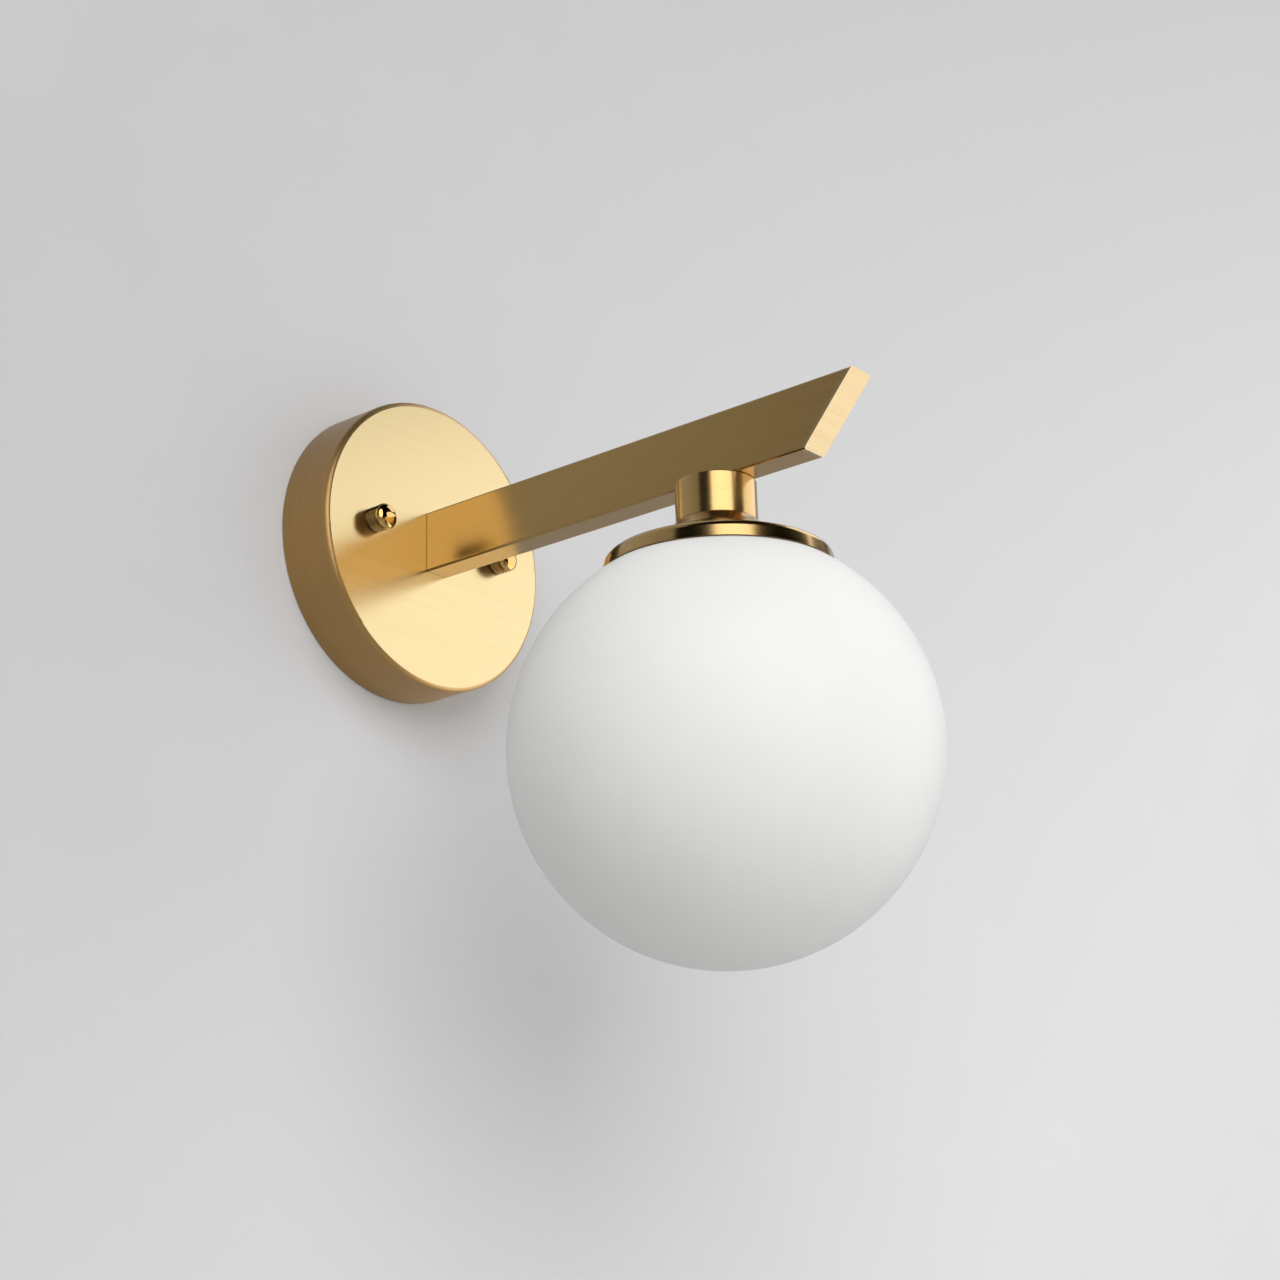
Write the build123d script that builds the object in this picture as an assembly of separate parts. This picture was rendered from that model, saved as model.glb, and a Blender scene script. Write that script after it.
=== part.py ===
from build123d import *
import os
from math import sqrt

# A wall sconce: a round wall plate, a flat bar arm with a mitred end, and an opal glass globe
# that hangs below the arm from a turned cup and a spun dish.
#
# Millimetres. The wall is the plane Y = 0 and the room is towards -Y. +Z is up. The origin is
# the middle of the wall bracket's screw slots, in the wall plane.

# ---------------------------------------------------------------- driving dimensions

# Wall plate: a spun pan that covers the bracket and the wiring.
PLATE_DIAMETER = 120.0
PLATE_DEPTH = 25.0
PLATE_WALL = 1.2
PLATE_EDGE_RADIUS = 2.0

# Arm: rectangular tube standing on edge, its far end cut back from top to bottom.
ARM_WIDTH = 12.0
ARM_HEIGHT = 25.0
ARM_WALL = 1.2
ARM_CORNER_RADIUS = 1.0
ARM_TOP_LENGTH = 208.0
ARM_BOTTOM_LENGTH = 186.0
ARM_CAP_THICKNESS = 1.2

# Drop: where the globe's axis crosses the arm, measured out from the plate's face.
DROP_REACH = 142.0
CUP_DIAMETER = 30.0
CUP_HEIGHT = 15.5
CUP_WALL = 1.5
CUP_EDGE_RADIUS = 0.4
CUP_EDGE_CHAMFER = 0.2

# Dish: one spun sheet, from a flared collar under the cup to the rim over the glass.
DISH_WALL = 1.2
DISH_COLLAR_STEP = 0.2
DISH_COLLAR_ROUNDING = 0.6
DISH_FLARE_OUT = 4.4
DISH_FLARE_DROP = 4.8
DISH_FLARE_ROUNDING = 3.0
DISH_SHOULDER_DIAMETER = 82.4
DISH_SHOULDER_DROP = 13.6
DISH_SHOULDER_ROUNDING = 3.0
DISH_RIM_DIAMETER = 84.8
DISH_DEPTH = 19.3

# Globe: blown opal glass ball with a short screw neck hidden by the dish.
GLOBE_DIAMETER = 154.0
GLOBE_WALL = 2.5
GLOBE_RIM_GAP = 0.6
GLOBE_RIM_OVERHANG = 0.25
NECK_DIAMETER = 76.0
NECK_LIP_CHAMFER = 0.6
GASKET_THICKNESS = 1.0
NECK_RING_HEIGHT = 4.0
NECK_RING_CLEARANCE = 0.3

# Wall bracket: a slotted crossbar with a tab below it for the terminal block.
BRACKET_LENGTH = 90.0
BRACKET_WIDTH = 18.0
BRACKET_THICKNESS = 2.0
BRACKET_CORNER_RADIUS = 3.0
CABLE_HOLE_DIAMETER = 11.0
WALL_SLOT_SPACING = 44.0
WALL_SLOT_LENGTH = 13.0
WALL_SLOT_WIDTH = 5.0
TAB_WIDTH = 34.0
TAB_DROP = 26.0

# Earth: a ring tag under a screw on the bracket, its crimped tail standing up.
EARTH_SCREW_X = 9.8
EARTH_TAG_DIAMETER = 7.2
EARTH_TAG_THICKNESS = 0.8
EARTH_TAG_TAIL_WIDTH = 2.6
EARTH_TAG_TAIL_LENGTH = 3.0
EARTH_TAG_TAIL_INSET = 1.0
EARTH_CRIMP_START = 1.6
EARTH_CRIMP_FLOOR = 0.8
EARTH_CRIMP_WALL = 0.6
EARTH_CRIMP_LENGTH = 6.0

# Studs through the plate, each with a lock nut behind it and a knurled cap nut in front.
STUD_SPACING = 69.0
STUD_HEIGHT = 1.5
STUD_DIAMETER = 4.0
STUD_GRIP = 6.5
STUD_HOLE_CLEARANCE = 0.3
LOCK_NUT_FLATS = 7.0
LOCK_NUT_THICKNESS = 3.2
CAP_NUT_DIAMETER = 9.6
CAP_NUT_KNURL = 5.9
CAP_NUT_DOME = 2.8
CAP_NUT_BORE_DEPTH = 7.2
CAP_NUT_CHAMFER = 0.4

# Arm fixing: a plug welded into the tube takes two screws from inside the plate.
PLUG_LENGTH = 18.0
ARM_SCREW_DIAMETER = 4.0
ARM_SCREW_LENGTH = 14.0
ARM_SCREW_SPACING = 16.0
WASHER_DIAMETER = 7.0
WASHER_THICKNESS = 0.8
WIRE_HOLE_DIAMETER = 7.0
BUSHING_WALL = 0.6
BUSHING_LIP = 0.9
BUSHING_FLANGE = 1.0
BUSHING_LENGTH = 9.0

# Hollow threaded rod that clamps cup, dish and lampholder yoke up against the arm. The block
# in the tube keeps a side wall each side of the rod, and the rod's bore leaves the two wires
# some room.
ROD_BORE_SHARE = 0.375
ROD_TAIL = 1.8
DROP_BLOCK_SIDE = 0.7
DROP_BLOCK_HEIGHT = 6.0
DROP_BLOCK_LENGTH = 16.0
DISH_WASHER_DIAMETER = 24.0
DISH_WASHER_THICKNESS = 1.0
ROD_NUT_FLATS = 13.0
ROD_NUT_THICKNESS = 4.0

# Lampholder: a ceramic two-pin holder on a bent strap.
YOKE_THICKNESS = 1.0
YOKE_STRAP = 10.0
YOKE_SPAN = 25.0
YOKE_LEG = 12.8
YOKE_FOOT = 5.5
YOKE_BEND_RADIUS = 1.5
HOLDER_DIAMETER = 21.0
HOLDER_HEIGHT = 22.0
HOLDER_SHOULDER = 2.0
HOLDER_CHAMFER = 0.8
HOLDER_EAR_THICKNESS = 4.0
HOLDER_SCREW_DIAMETER = 3.0
HOLDER_SCREW_LENGTH = 7.0
HOLDER_WIRE_CLEARANCE = 0.3
PIN_SPACING = 9.0
PIN_LENGTH = 7.0
PIN_LOOP_WIDTH = 2.4
PIN_WIRE = 0.8
PIN_ROOT = 1.8
CONTACT_WALL = 0.3
CONTACT_LENGTH = 9.0
CONTACT_CLEARANCE = 0.25
CONTACT_SLOT_CLEARANCE = 0.2

# Lamp: a small two-pin LED capsule.
LAMP_BASE_DIAMETER = 16.0
LAMP_BASE_HEIGHT = 9.5
LAMP_PIN_SOCKET = 2.0
LAMP_SPIGOT = 2.5
LAMP_DIAMETER = 18.0
LAMP_WALL = 1.0
LAMP_LENGTH = 40.0
LED_CORE_FLATS = 7.0
LED_CORE_LENGTH = 26.0
LED_SIDES = 6
LED_STRIP_WIDTH = 2.2
LED_STRIP_THICKNESS = 0.5
LED_STRIP_MARGIN = 2.0

# Terminal block: three poles side by side.
POLES = 3
POLE_PITCH = 9.5
BLOCK_DEPTH = 14.0
BLOCK_HEIGHT = 18.0
BLOCK_TOWER = 8.0
BLOCK_CORNER = 1.2
BLOCK_WEB_DEPTH = 9.5
BLOCK_WEB_INSET = 2.0
BLOCK_CLEARANCE = 3.5
BLOCK_SCREW_DIAMETER = 3.0
BLOCK_SCREW_LENGTH = 11.0
BLOCK_COUNTERBORE = 5.6
BARREL_OFFSET = 1.0
BARREL_DIAMETER = 5.0
BARREL_BORE = 3.0
BARREL_LENGTH = 15.0
TERMINAL_ACCESS_DIAMETER = 3.6
TERMINAL_SCREW_DIAMETER = 2.6
TERMINAL_SCREW_SPACING = 8.0
TERMINAL_SCREW_LENGTH = 4.5

# Wires.
WIRE_DIAMETER = 1.8
WIRE_PAIR_GAP = 0.4
WIRE_ROD_TOP_Z = 7.2
WIRE_ROD_BEND = 10.0

# Screw heads, as shares of the screw's diameter and of the head's height.
PAN_HEAD_SHARE = 1.74
PAN_HEIGHT_SHARE = 0.64
PAN_BEVEL_SHARE = 0.45

# Clearances.
THREAD_GAP = 0.05
SLIP_GAP = 0.1
SEAT_GAP = 0.3

# ---------------------------------------------------------------- worked-out places

FACE_Y = -PLATE_DEPTH
INNER_FACE_Y = FACE_Y + PLATE_WALL
DROP_Y = FACE_Y - DROP_REACH
ARM_UNDERSIDE = -ARM_HEIGHT / 2
ARM_INNER_WIDTH = ARM_WIDTH - 2 * ARM_WALL
ARM_INNER_HEIGHT = ARM_HEIGHT - 2 * ARM_WALL
CUP_BOTTOM = ARM_UNDERSIDE - CUP_HEIGHT
DISH_RIM_Z = CUP_BOTTOM - DISH_DEPTH
DISH_INSIDE_Z = CUP_BOTTOM - DISH_WALL

# The wires lie side by side in the rod, and the rod fits the block's side walls.
WIRE_PAIR_SPACING = WIRE_DIAMETER + WIRE_PAIR_GAP
WIRE_PAIR_WIDTH = WIRE_DIAMETER + WIRE_PAIR_SPACING
DROP_BLOCK_WIDTH = ARM_INNER_WIDTH - 2 * SLIP_GAP
ROD_DIAMETER = DROP_BLOCK_WIDTH - 2 * DROP_BLOCK_SIDE
ROD_BORE = WIRE_PAIR_WIDTH + ROD_BORE_SHARE * (ROD_DIAMETER - WIRE_PAIR_WIDTH)

# The dish's cone, from the foot of its flare to its shoulder.
DISH_COLLAR_RADIUS = CUP_DIAMETER / 2 + DISH_COLLAR_STEP
DISH_FOOT_RADIUS = DISH_COLLAR_RADIUS + DISH_FLARE_OUT
DISH_FOOT_Z = CUP_BOTTOM - DISH_FLARE_DROP
DISH_SHOULDER_REACH = DISH_SHOULDER_DIAMETER / 2
DISH_SHOULDER_Z = CUP_BOTTOM - DISH_SHOULDER_DROP
DISH_CONE_SLOPE = (DISH_FOOT_Z - DISH_SHOULDER_Z) / (DISH_SHOULDER_REACH - DISH_FOOT_RADIUS)
DISH_CONE_WALL = DISH_WALL * sqrt(1 + DISH_CONE_SLOPE**2)

# The gasket's outer edge stops just under the cone, and the glass neck's lip lies under it.
GLASS_SHOULDER_Z = DISH_RIM_Z - GLOBE_RIM_GAP
CONE_AT_NECK_Z = DISH_FOOT_Z - DISH_CONE_SLOPE * (NECK_DIAMETER / 2 - DISH_FOOT_RADIUS)
GASKET_TOP_Z = CONE_AT_NECK_Z - DISH_CONE_WALL - SEAT_GAP
NECK_TOP_Z = GASKET_TOP_Z - GASKET_THICKNESS

# The ball meets the glass shoulder where the dish's rim hides it.
GLOBE_RADIUS = GLOBE_DIAMETER / 2
SHOULDER_RADIUS = DISH_RIM_DIAMETER / 2 + GLOBE_RIM_OVERHANG
GLOBE_CENTRE_Z = GLASS_SHOULDER_Z - sqrt(GLOBE_RADIUS**2 - SHOULDER_RADIUS**2)

BLOCK_TOP_Z = -BRACKET_WIDTH / 2 - BLOCK_CLEARANCE
BLOCK_BOTTOM_Z = BLOCK_TOP_Z - BLOCK_HEIGHT
BLOCK_MIDDLE_Z = (BLOCK_TOP_Z + BLOCK_BOTTOM_Z) / 2
BARREL_Y = -BRACKET_THICKNESS - BLOCK_DEPTH / 2 + BARREL_OFFSET

WASHER_BOTTOM_Z = DISH_INSIDE_Z - DISH_WASHER_THICKNESS
YOKE_BOTTOM_Z = WASHER_BOTTOM_Z - YOKE_THICKNESS
ROD_NUT_BOTTOM_Z = YOKE_BOTTOM_Z - ROD_NUT_THICKNESS
ROD_BOTTOM_Z = ROD_NUT_BOTTOM_Z - ROD_TAIL
DROP_BLOCK_BOTTOM_Z = ARM_UNDERSIDE + ARM_WALL
DROP_BLOCK_TOP_Z = DROP_BLOCK_BOTTOM_Z + DROP_BLOCK_HEIGHT
FOOT_TOP_Z = WASHER_BOTTOM_Z - YOKE_LEG
FOOT_BOTTOM_Z = FOOT_TOP_Z - YOKE_THICKNESS
HOLDER_TOP_Z = FOOT_BOTTOM_Z + HOLDER_SHOULDER
HOLDER_BOTTOM_Z = HOLDER_TOP_Z - HOLDER_HEIGHT
EAR_BOTTOM_Z = FOOT_BOTTOM_Z - HOLDER_EAR_THICKNESS
EAR_SCREW_X = (YOKE_SPAN + YOKE_FOOT) / 2
CONTACT_TOP_Z = HOLDER_BOTTOM_Z + SLIP_GAP + CONTACT_LENGTH
LAMP_TOP_Z = HOLDER_BOTTOM_Z - SLIP_GAP
LAMP_ENVELOPE_TOP_Z = LAMP_TOP_Z - LAMP_BASE_HEIGHT
LAMP_SPIGOT_Z = LAMP_ENVELOPE_TOP_Z - LAMP_SPIGOT
LAMP_TIP_Z = LAMP_ENVELOPE_TOP_Z - LAMP_LENGTH

# The tag's tail starts inside its ring, and the crimp starts inside the tail.
EARTH_TAIL_Z = EARTH_TAG_DIAMETER / 2 - EARTH_TAG_TAIL_INSET
EARTH_CRIMP_Z = EARTH_TAIL_Z + EARTH_CRIMP_START
EARTH_CRIMP_FLOOR_Z = EARTH_CRIMP_Z + EARTH_CRIMP_FLOOR
EARTH_CRIMP_AXIS = WIRE_DIAMETER / 2 + EARTH_CRIMP_WALL

# Sketches in the wall plane: local x is X, local y is Z, local z is out into the room.
WALL = Plane(origin=(0, 0, 0), x_dir=(1, 0, 0), z_dir=(0, -1, 0))
DROP = Pos(0, DROP_Y, 0)


# ---------------------------------------------------------------- shared shapes

def outline(*corners):
    """A flat face from (x, y, rounding) corners."""
    face = make_face(Polyline(*[(x, y) for x, y, _ in corners], close=True))
    for x, y, rounding in corners:
        if rounding:
            corner = face.vertices().sort_by_distance((x, y, 0))[0]
            face = fillet(corner, rounding)
    return face


def turned(*corners):
    """A solid turned about Z from (radius, height, rounding) corners."""
    return revolve(Plane.XZ * outline(*corners), Axis.Z)


def rod(diameter, start, end):
    """A round bar between two points."""
    run = Vector(*end) - Vector(*start)
    return Solid.make_cylinder(diameter / 2, run.length, Plane(origin=start, z_dir=run))


def placed(shape, seat, direction, x_dir=(1, 0, 0)):
    """Stand a shape drawn on the XY plane on a seat, pointing in a direction."""
    return Plane(origin=seat, x_dir=x_dir, z_dir=direction) * shape


def hex_nut(flats, thickness, thread, gap=THREAD_GAP):
    """A hex nut with chamfered corners and a plain bore for its thread."""
    blank = extrude(RegularPolygon(flats / 2, 6, major_radius=False), thickness)
    corner = flats / sqrt(3)
    slope = corner - flats / 2
    barrel = turned(
        (0, 0, 0),
        (flats / 2, 0, 0),
        (corner + SLIP_GAP, slope * 0.6, 0),
        (corner + SLIP_GAP, thickness - slope * 0.6, 0),
        (flats / 2, thickness, 0),
        (0, thickness, 0),
    )
    return (blank & barrel) - rod(thread + 2 * gap, (0, 0, -1), (0, 0, thickness + 1))


def pan_screw(diameter, length):
    """A pan-head screw, its head above Z = 0 and its shank below, with a cross recess."""
    head_radius = diameter * PAN_HEAD_SHARE / 2
    height = diameter * PAN_HEIGHT_SHARE
    bevel = height * PAN_BEVEL_SHARE
    head = turned(
        (0, 0, 0),
        (head_radius, 0, 0),
        (head_radius, height - bevel, 0),
        (head_radius - bevel, height, 0),
        (0, height, 0),
    )
    cross = Rectangle(head_radius, diameter / 5) + Rectangle(diameter / 5, head_radius)
    head -= extrude(Pos(0, 0, height / 2) * cross, height)
    return head + rod(diameter, (0, 0, 0), (0, 0, -length))


def washer(outer, inner, thickness):
    """A flat ring standing on Z = 0."""
    return extrude(Circle(outer / 2) - Circle(inner / 2), thickness)


def wire(points, radii):
    """An insulated wire: straight runs joined by tangent arcs."""
    path = FilletPolyline(*points, radius=radii)
    section = Plane(origin=path @ 0, z_dir=path % 0) * Circle(WIRE_DIAMETER / 2)
    return sweep(section, path=path)


def bend_radii(points):
    """The largest even arc at each corner: 0.45 of the shorter run beside it."""
    radii = []
    for before, corner, after in zip(points, points[1:], points[2:]):
        run_in = Vector(*corner) - Vector(*before)
        run_out = Vector(*after) - Vector(*corner)
        half_turn = run_in.get_angle(run_out) / 2
        shorter = min(run_in.length, run_out.length)
        tangent = Vector(1, 0).rotate(Axis.Z, half_turn)
        radii.append(0.45 * shorter * tangent.X / tangent.Y)
    return radii


# ---------------------------------------------------------------- wall plate and bracket

def wall_plate():
    """Spun pan, open to the wall, with a small radius round its face."""
    pan = extrude(Circle(PLATE_DIAMETER / 2), PLATE_DEPTH)
    pan = fillet(pan.edges().group_by(Axis.Z)[-1], PLATE_EDGE_RADIUS)
    pan = offset(pan, -PLATE_WALL, openings=pan.faces().sort_by(Axis.Z)[0])
    stud_hole = Circle(STUD_DIAMETER / 2 + STUD_HOLE_CLEARANCE)
    screw_hole = Circle(ARM_SCREW_DIAMETER / 2 + STUD_HOLE_CLEARANCE)
    holes = Circle(WIRE_HOLE_DIAMETER / 2)
    for side in (-1, 1):
        holes += Pos(side * STUD_SPACING / 2, STUD_HEIGHT) * stud_hole
        holes += Pos(0, side * ARM_SCREW_SPACING / 2) * screw_hole
    return WALL * (pan - extrude(holes, PLATE_DEPTH + 1))


def wall_bracket():
    """Crossbar flat on the wall: screw slots, cable hole, stud holes and the terminal tab."""
    bar = RectangleRounded(BRACKET_LENGTH, BRACKET_WIDTH, BRACKET_CORNER_RADIUS)
    tab_bottom = -BRACKET_WIDTH / 2 - TAB_DROP
    tab = outline(
        (-TAB_WIDTH / 2, 0, 0),
        (TAB_WIDTH / 2, 0, 0),
        (TAB_WIDTH / 2, tab_bottom, BRACKET_CORNER_RADIUS),
        (-TAB_WIDTH / 2, tab_bottom, BRACKET_CORNER_RADIUS),
    )
    sheet = bar + tab - Circle(CABLE_HOLE_DIAMETER / 2)
    stud_hole = Circle(STUD_DIAMETER / 2 + THREAD_GAP)
    block_hole = Circle(BLOCK_SCREW_DIAMETER / 2 + THREAD_GAP)
    for side in (-1, 1):
        sheet -= Pos(side * WALL_SLOT_SPACING / 2, 0) * SlotOverall(WALL_SLOT_LENGTH, WALL_SLOT_WIDTH)
        sheet -= Pos(side * STUD_SPACING / 2, STUD_HEIGHT) * stud_hole
        sheet -= Pos(side * POLE_PITCH / 2, BLOCK_MIDDLE_Z) * block_hole
    sheet -= Pos(EARTH_SCREW_X, 0) * stud_hole
    return WALL * extrude(sheet, BRACKET_THICKNESS)


def stud_places():
    """Where the two studs stand in the wall plane: left, then right."""
    return [(side * STUD_SPACING / 2, STUD_HEIGHT) for side in (-1, 1)]


def plate_studs():
    """Studs from the back of the bracket, through the plate, into the cap nuts."""
    tip_y = FACE_Y - STUD_GRIP
    return Compound([rod(STUD_DIAMETER, (x, 0, z), (x, tip_y, z)) for x, z in stud_places()])


def stud_lock_nuts():
    """Hex nuts that lock the studs to the bracket."""
    nut = hex_nut(LOCK_NUT_FLATS, LOCK_NUT_THICKNESS, STUD_DIAMETER)
    seats = [(x, -BRACKET_THICKNESS, z) for x, z in stud_places()]
    return Compound([placed(nut, seat, (0, -1, 0)) for seat in seats])


def cap_nut(x, z):
    """Round cap nut: a barrel for the knurl and a low polished dome."""
    length = CAP_NUT_KNURL + CAP_NUT_DOME
    radius = CAP_NUT_DIAMETER / 2
    side = Polyline((0, 0), (radius - CAP_NUT_CHAMFER, 0), (radius, CAP_NUT_CHAMFER), (radius, CAP_NUT_KNURL))
    dome_radius = (radius**2 + CAP_NUT_DOME**2) / (2 * CAP_NUT_DOME)
    half_x = radius * 0.55
    half_z = length - dome_radius + sqrt(dome_radius**2 - half_x**2)
    dome = ThreePointArc((radius, CAP_NUT_KNURL), (half_x, half_z), (0, length))
    profile = make_face(Plane.XZ * (side + dome + Line((0, length), (0, 0))))
    nut = revolve(profile, Axis.Z)
    nut -= rod(STUD_DIAMETER + 2 * THREAD_GAP, (0, 0, -1), (0, 0, CAP_NUT_BORE_DEPTH))
    return placed(nut, (x, FACE_Y, z), (0, -1, 0))


# ---------------------------------------------------------------- arm

def arm_bar(width, height, corner):
    """A bar along the arm, from the plate's face to past the longest edge."""
    section = RectangleRounded(width, height, corner)
    return placed(extrude(section, ARM_TOP_LENGTH + 5), (0, FACE_Y, 0), (0, -1, 0))


def mitre_plane(inset=0.0):
    """The arm's sloping end, or a plane that lies inside it by an inset."""
    top = Vector(0, FACE_Y - ARM_TOP_LENGTH, ARM_HEIGHT / 2)
    foot = Vector(0, FACE_Y - ARM_BOTTOM_LENGTH, -ARM_HEIGHT / 2)
    slope = foot - top
    outward = Vector(0, slope.Z, -slope.Y).normalized()
    return Plane(origin=top - outward * inset, x_dir=(1, 0, 0), z_dir=outward)


def arm_tube():
    """Rectangular tube, mitred, with a hole below for the threaded rod."""
    outer = arm_bar(ARM_WIDTH, ARM_HEIGHT, ARM_CORNER_RADIUS)
    inner = arm_bar(ARM_INNER_WIDTH, ARM_INNER_HEIGHT, ARM_CORNER_RADIUS / 2)
    tube = split(outer - inner, mitre_plane(ARM_CAP_THICKNESS), keep=Keep.BOTTOM)
    rod_hole = rod(ROD_DIAMETER + 2 * SLIP_GAP, (0, DROP_Y, ARM_UNDERSIDE - 1), (0, DROP_Y, 0))
    return tube - rod_hole


def arm_end_cap():
    """Plate welded over the mitred end and ground flush with the tube."""
    bar = arm_bar(ARM_WIDTH, ARM_HEIGHT, ARM_CORNER_RADIUS)
    bar = split(bar, mitre_plane(), keep=Keep.BOTTOM)
    return split(bar, mitre_plane(ARM_CAP_THICKNESS), keep=Keep.TOP)


def arm_root_plug():
    """Block inside the tube's root: a wire hole between two tapped holes."""
    block = RectangleRounded(
        ARM_INNER_WIDTH - 2 * SLIP_GAP,
        ARM_INNER_HEIGHT - 2 * SLIP_GAP,
        ARM_CORNER_RADIUS / 2,
    )
    block -= Circle(WIRE_HOLE_DIAMETER / 2)
    for side in (-1, 1):
        block -= Pos(0, side * ARM_SCREW_SPACING / 2) * Circle(ARM_SCREW_DIAMETER / 2 + THREAD_GAP)
    return placed(extrude(block, PLUG_LENGTH), (0, FACE_Y, 0), (0, -1, 0))


def arm_screws():
    """Two screws from inside the plate into the plug."""
    screw = pan_screw(ARM_SCREW_DIAMETER, ARM_SCREW_LENGTH)
    seat_y = INNER_FACE_Y + WASHER_THICKNESS
    heights = [side * ARM_SCREW_SPACING / 2 for side in (-1, 1)]
    return Compound([placed(screw, (0, seat_y, z), (0, 1, 0)) for z in heights])


def arm_screw_washers():
    """Flat washers under the arm's screws."""
    ring = washer(WASHER_DIAMETER, ARM_SCREW_DIAMETER + 2 * SLIP_GAP, WASHER_THICKNESS)
    heights = [side * ARM_SCREW_SPACING / 2 for side in (-1, 1)]
    return Compound([placed(ring, (0, INNER_FACE_Y, z), (0, 1, 0)) for z in heights])


def wire_bushing():
    """Flanged plastic sleeve that keeps the wires off the plate's edge."""
    outer = WIRE_HOLE_DIAMETER / 2 - SLIP_GAP
    inner = outer - BUSHING_WALL
    flange = outer + BUSHING_LIP
    sleeve = turned(
        (inner, BUSHING_FLANGE, 0),
        (inner, BUSHING_FLANGE - BUSHING_LENGTH, 0),
        (outer, BUSHING_FLANGE - BUSHING_LENGTH, 0),
        (outer, 0, 0),
        (flange, 0, 0),
        (flange, BUSHING_FLANGE, 0),
    )
    return placed(sleeve, (0, INNER_FACE_Y, 0), (0, 1, 0))


def drop_block():
    """Tapped block welded on the tube's floor for the threaded rod."""
    block = Box(
        DROP_BLOCK_WIDTH,
        DROP_BLOCK_LENGTH,
        DROP_BLOCK_HEIGHT,
        align=(Align.CENTER, Align.CENTER, Align.MIN),
    )
    block = fillet(block.edges().filter_by(Axis.Y), ARM_CORNER_RADIUS / 2)
    block -= Cylinder(ROD_DIAMETER / 2 + THREAD_GAP, 4 * DROP_BLOCK_HEIGHT)
    return Pos(0, DROP_Y, DROP_BLOCK_BOTTOM_Z) * block


# ---------------------------------------------------------------- cup, dish and clamp

def drop_rod():
    """Hollow threaded rod from the block down through the stack to below its nut."""
    tube = rod(ROD_DIAMETER, (0, 0, ROD_BOTTOM_Z), (0, 0, DROP_BLOCK_TOP_Z))
    return DROP * (tube - rod(ROD_BORE, (0, 0, ROD_BOTTOM_Z - 1), (0, 0, DROP_BLOCK_TOP_Z + 1)))


def rod_hole(z_low, z_high):
    """A clear hole for the threaded rod."""
    return rod(ROD_DIAMETER + 2 * SLIP_GAP, (0, 0, z_low), (0, 0, z_high))


def socket_cup():
    """Turned cup, closed at the top, standing on the dish's collar."""
    radius = CUP_DIAMETER / 2
    inside = radius - CUP_WALL
    cup = turned(
        (0, ARM_UNDERSIDE, 0),
        (radius, ARM_UNDERSIDE, CUP_EDGE_RADIUS),
        (radius, CUP_BOTTOM + CUP_EDGE_CHAMFER, 0),
        (radius - CUP_EDGE_CHAMFER, CUP_BOTTOM, 0),
        (inside, CUP_BOTTOM, 0),
        (inside, ARM_UNDERSIDE - CUP_WALL, 0),
        (0, ARM_UNDERSIDE - CUP_WALL, 0),
    )
    return DROP * (cup - rod_hole(CUP_BOTTOM, ARM_UNDERSIDE + 1))


def globe_dish():
    """Spun dish: flat collar, steep flare, shallow cone, rounded shoulder and short rim."""
    blank = turned(
        (0, CUP_BOTTOM, 0),
        (DISH_COLLAR_RADIUS, CUP_BOTTOM, DISH_COLLAR_ROUNDING),
        (DISH_FOOT_RADIUS, DISH_FOOT_Z, DISH_FLARE_ROUNDING),
        (DISH_SHOULDER_REACH, DISH_SHOULDER_Z, DISH_SHOULDER_ROUNDING),
        (DISH_RIM_DIAMETER / 2, DISH_RIM_Z, 0),
        (0, DISH_RIM_Z, 0),
    )
    shell = offset(blank, -DISH_WALL, openings=blank.faces().sort_by(Axis.Z)[0], kind=Kind.INTERSECTION)
    return DROP * (shell - rod_hole(DISH_INSIDE_Z - 1, CUP_BOTTOM + 1))


def dish_inside_radius(z):
    """Radius of the rim's inner wall at a height: the rim leans out a little."""
    lean = (DISH_RIM_DIAMETER / 2 - DISH_SHOULDER_REACH) / (DISH_SHOULDER_Z - DISH_RIM_Z)
    slant_wall = DISH_WALL * sqrt(1 + lean**2)
    return DISH_RIM_DIAMETER / 2 - lean * (z - DISH_RIM_Z) - slant_wall


def neck_ring():
    """Threaded ring soldered inside the dish's rim, which the glass neck screws into."""
    bottom = DISH_RIM_Z + SEAT_GAP
    top = bottom + NECK_RING_HEIGHT
    bore = NECK_DIAMETER / 2 + NECK_RING_CLEARANCE
    ring = turned(
        (bore, bottom, 0),
        (dish_inside_radius(bottom) - SLIP_GAP, bottom, 0),
        (dish_inside_radius(top) - SLIP_GAP, top, 0),
        (bore, top, 0),
    )
    return DROP * ring


def dish_washer():
    """Wide washer that spreads the nut's load under the thin dish."""
    ring = washer(DISH_WASHER_DIAMETER, ROD_DIAMETER + 2 * SLIP_GAP, DISH_WASHER_THICKNESS)
    return DROP * Pos(0, 0, WASHER_BOTTOM_Z) * ring


def rod_nut():
    """Hex nut that pulls the whole stack up against the arm."""
    nut = hex_nut(ROD_NUT_FLATS, ROD_NUT_THICKNESS, ROD_DIAMETER)
    return DROP * Pos(0, 0, ROD_NUT_BOTTOM_Z) * nut


# ---------------------------------------------------------------- lampholder

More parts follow.
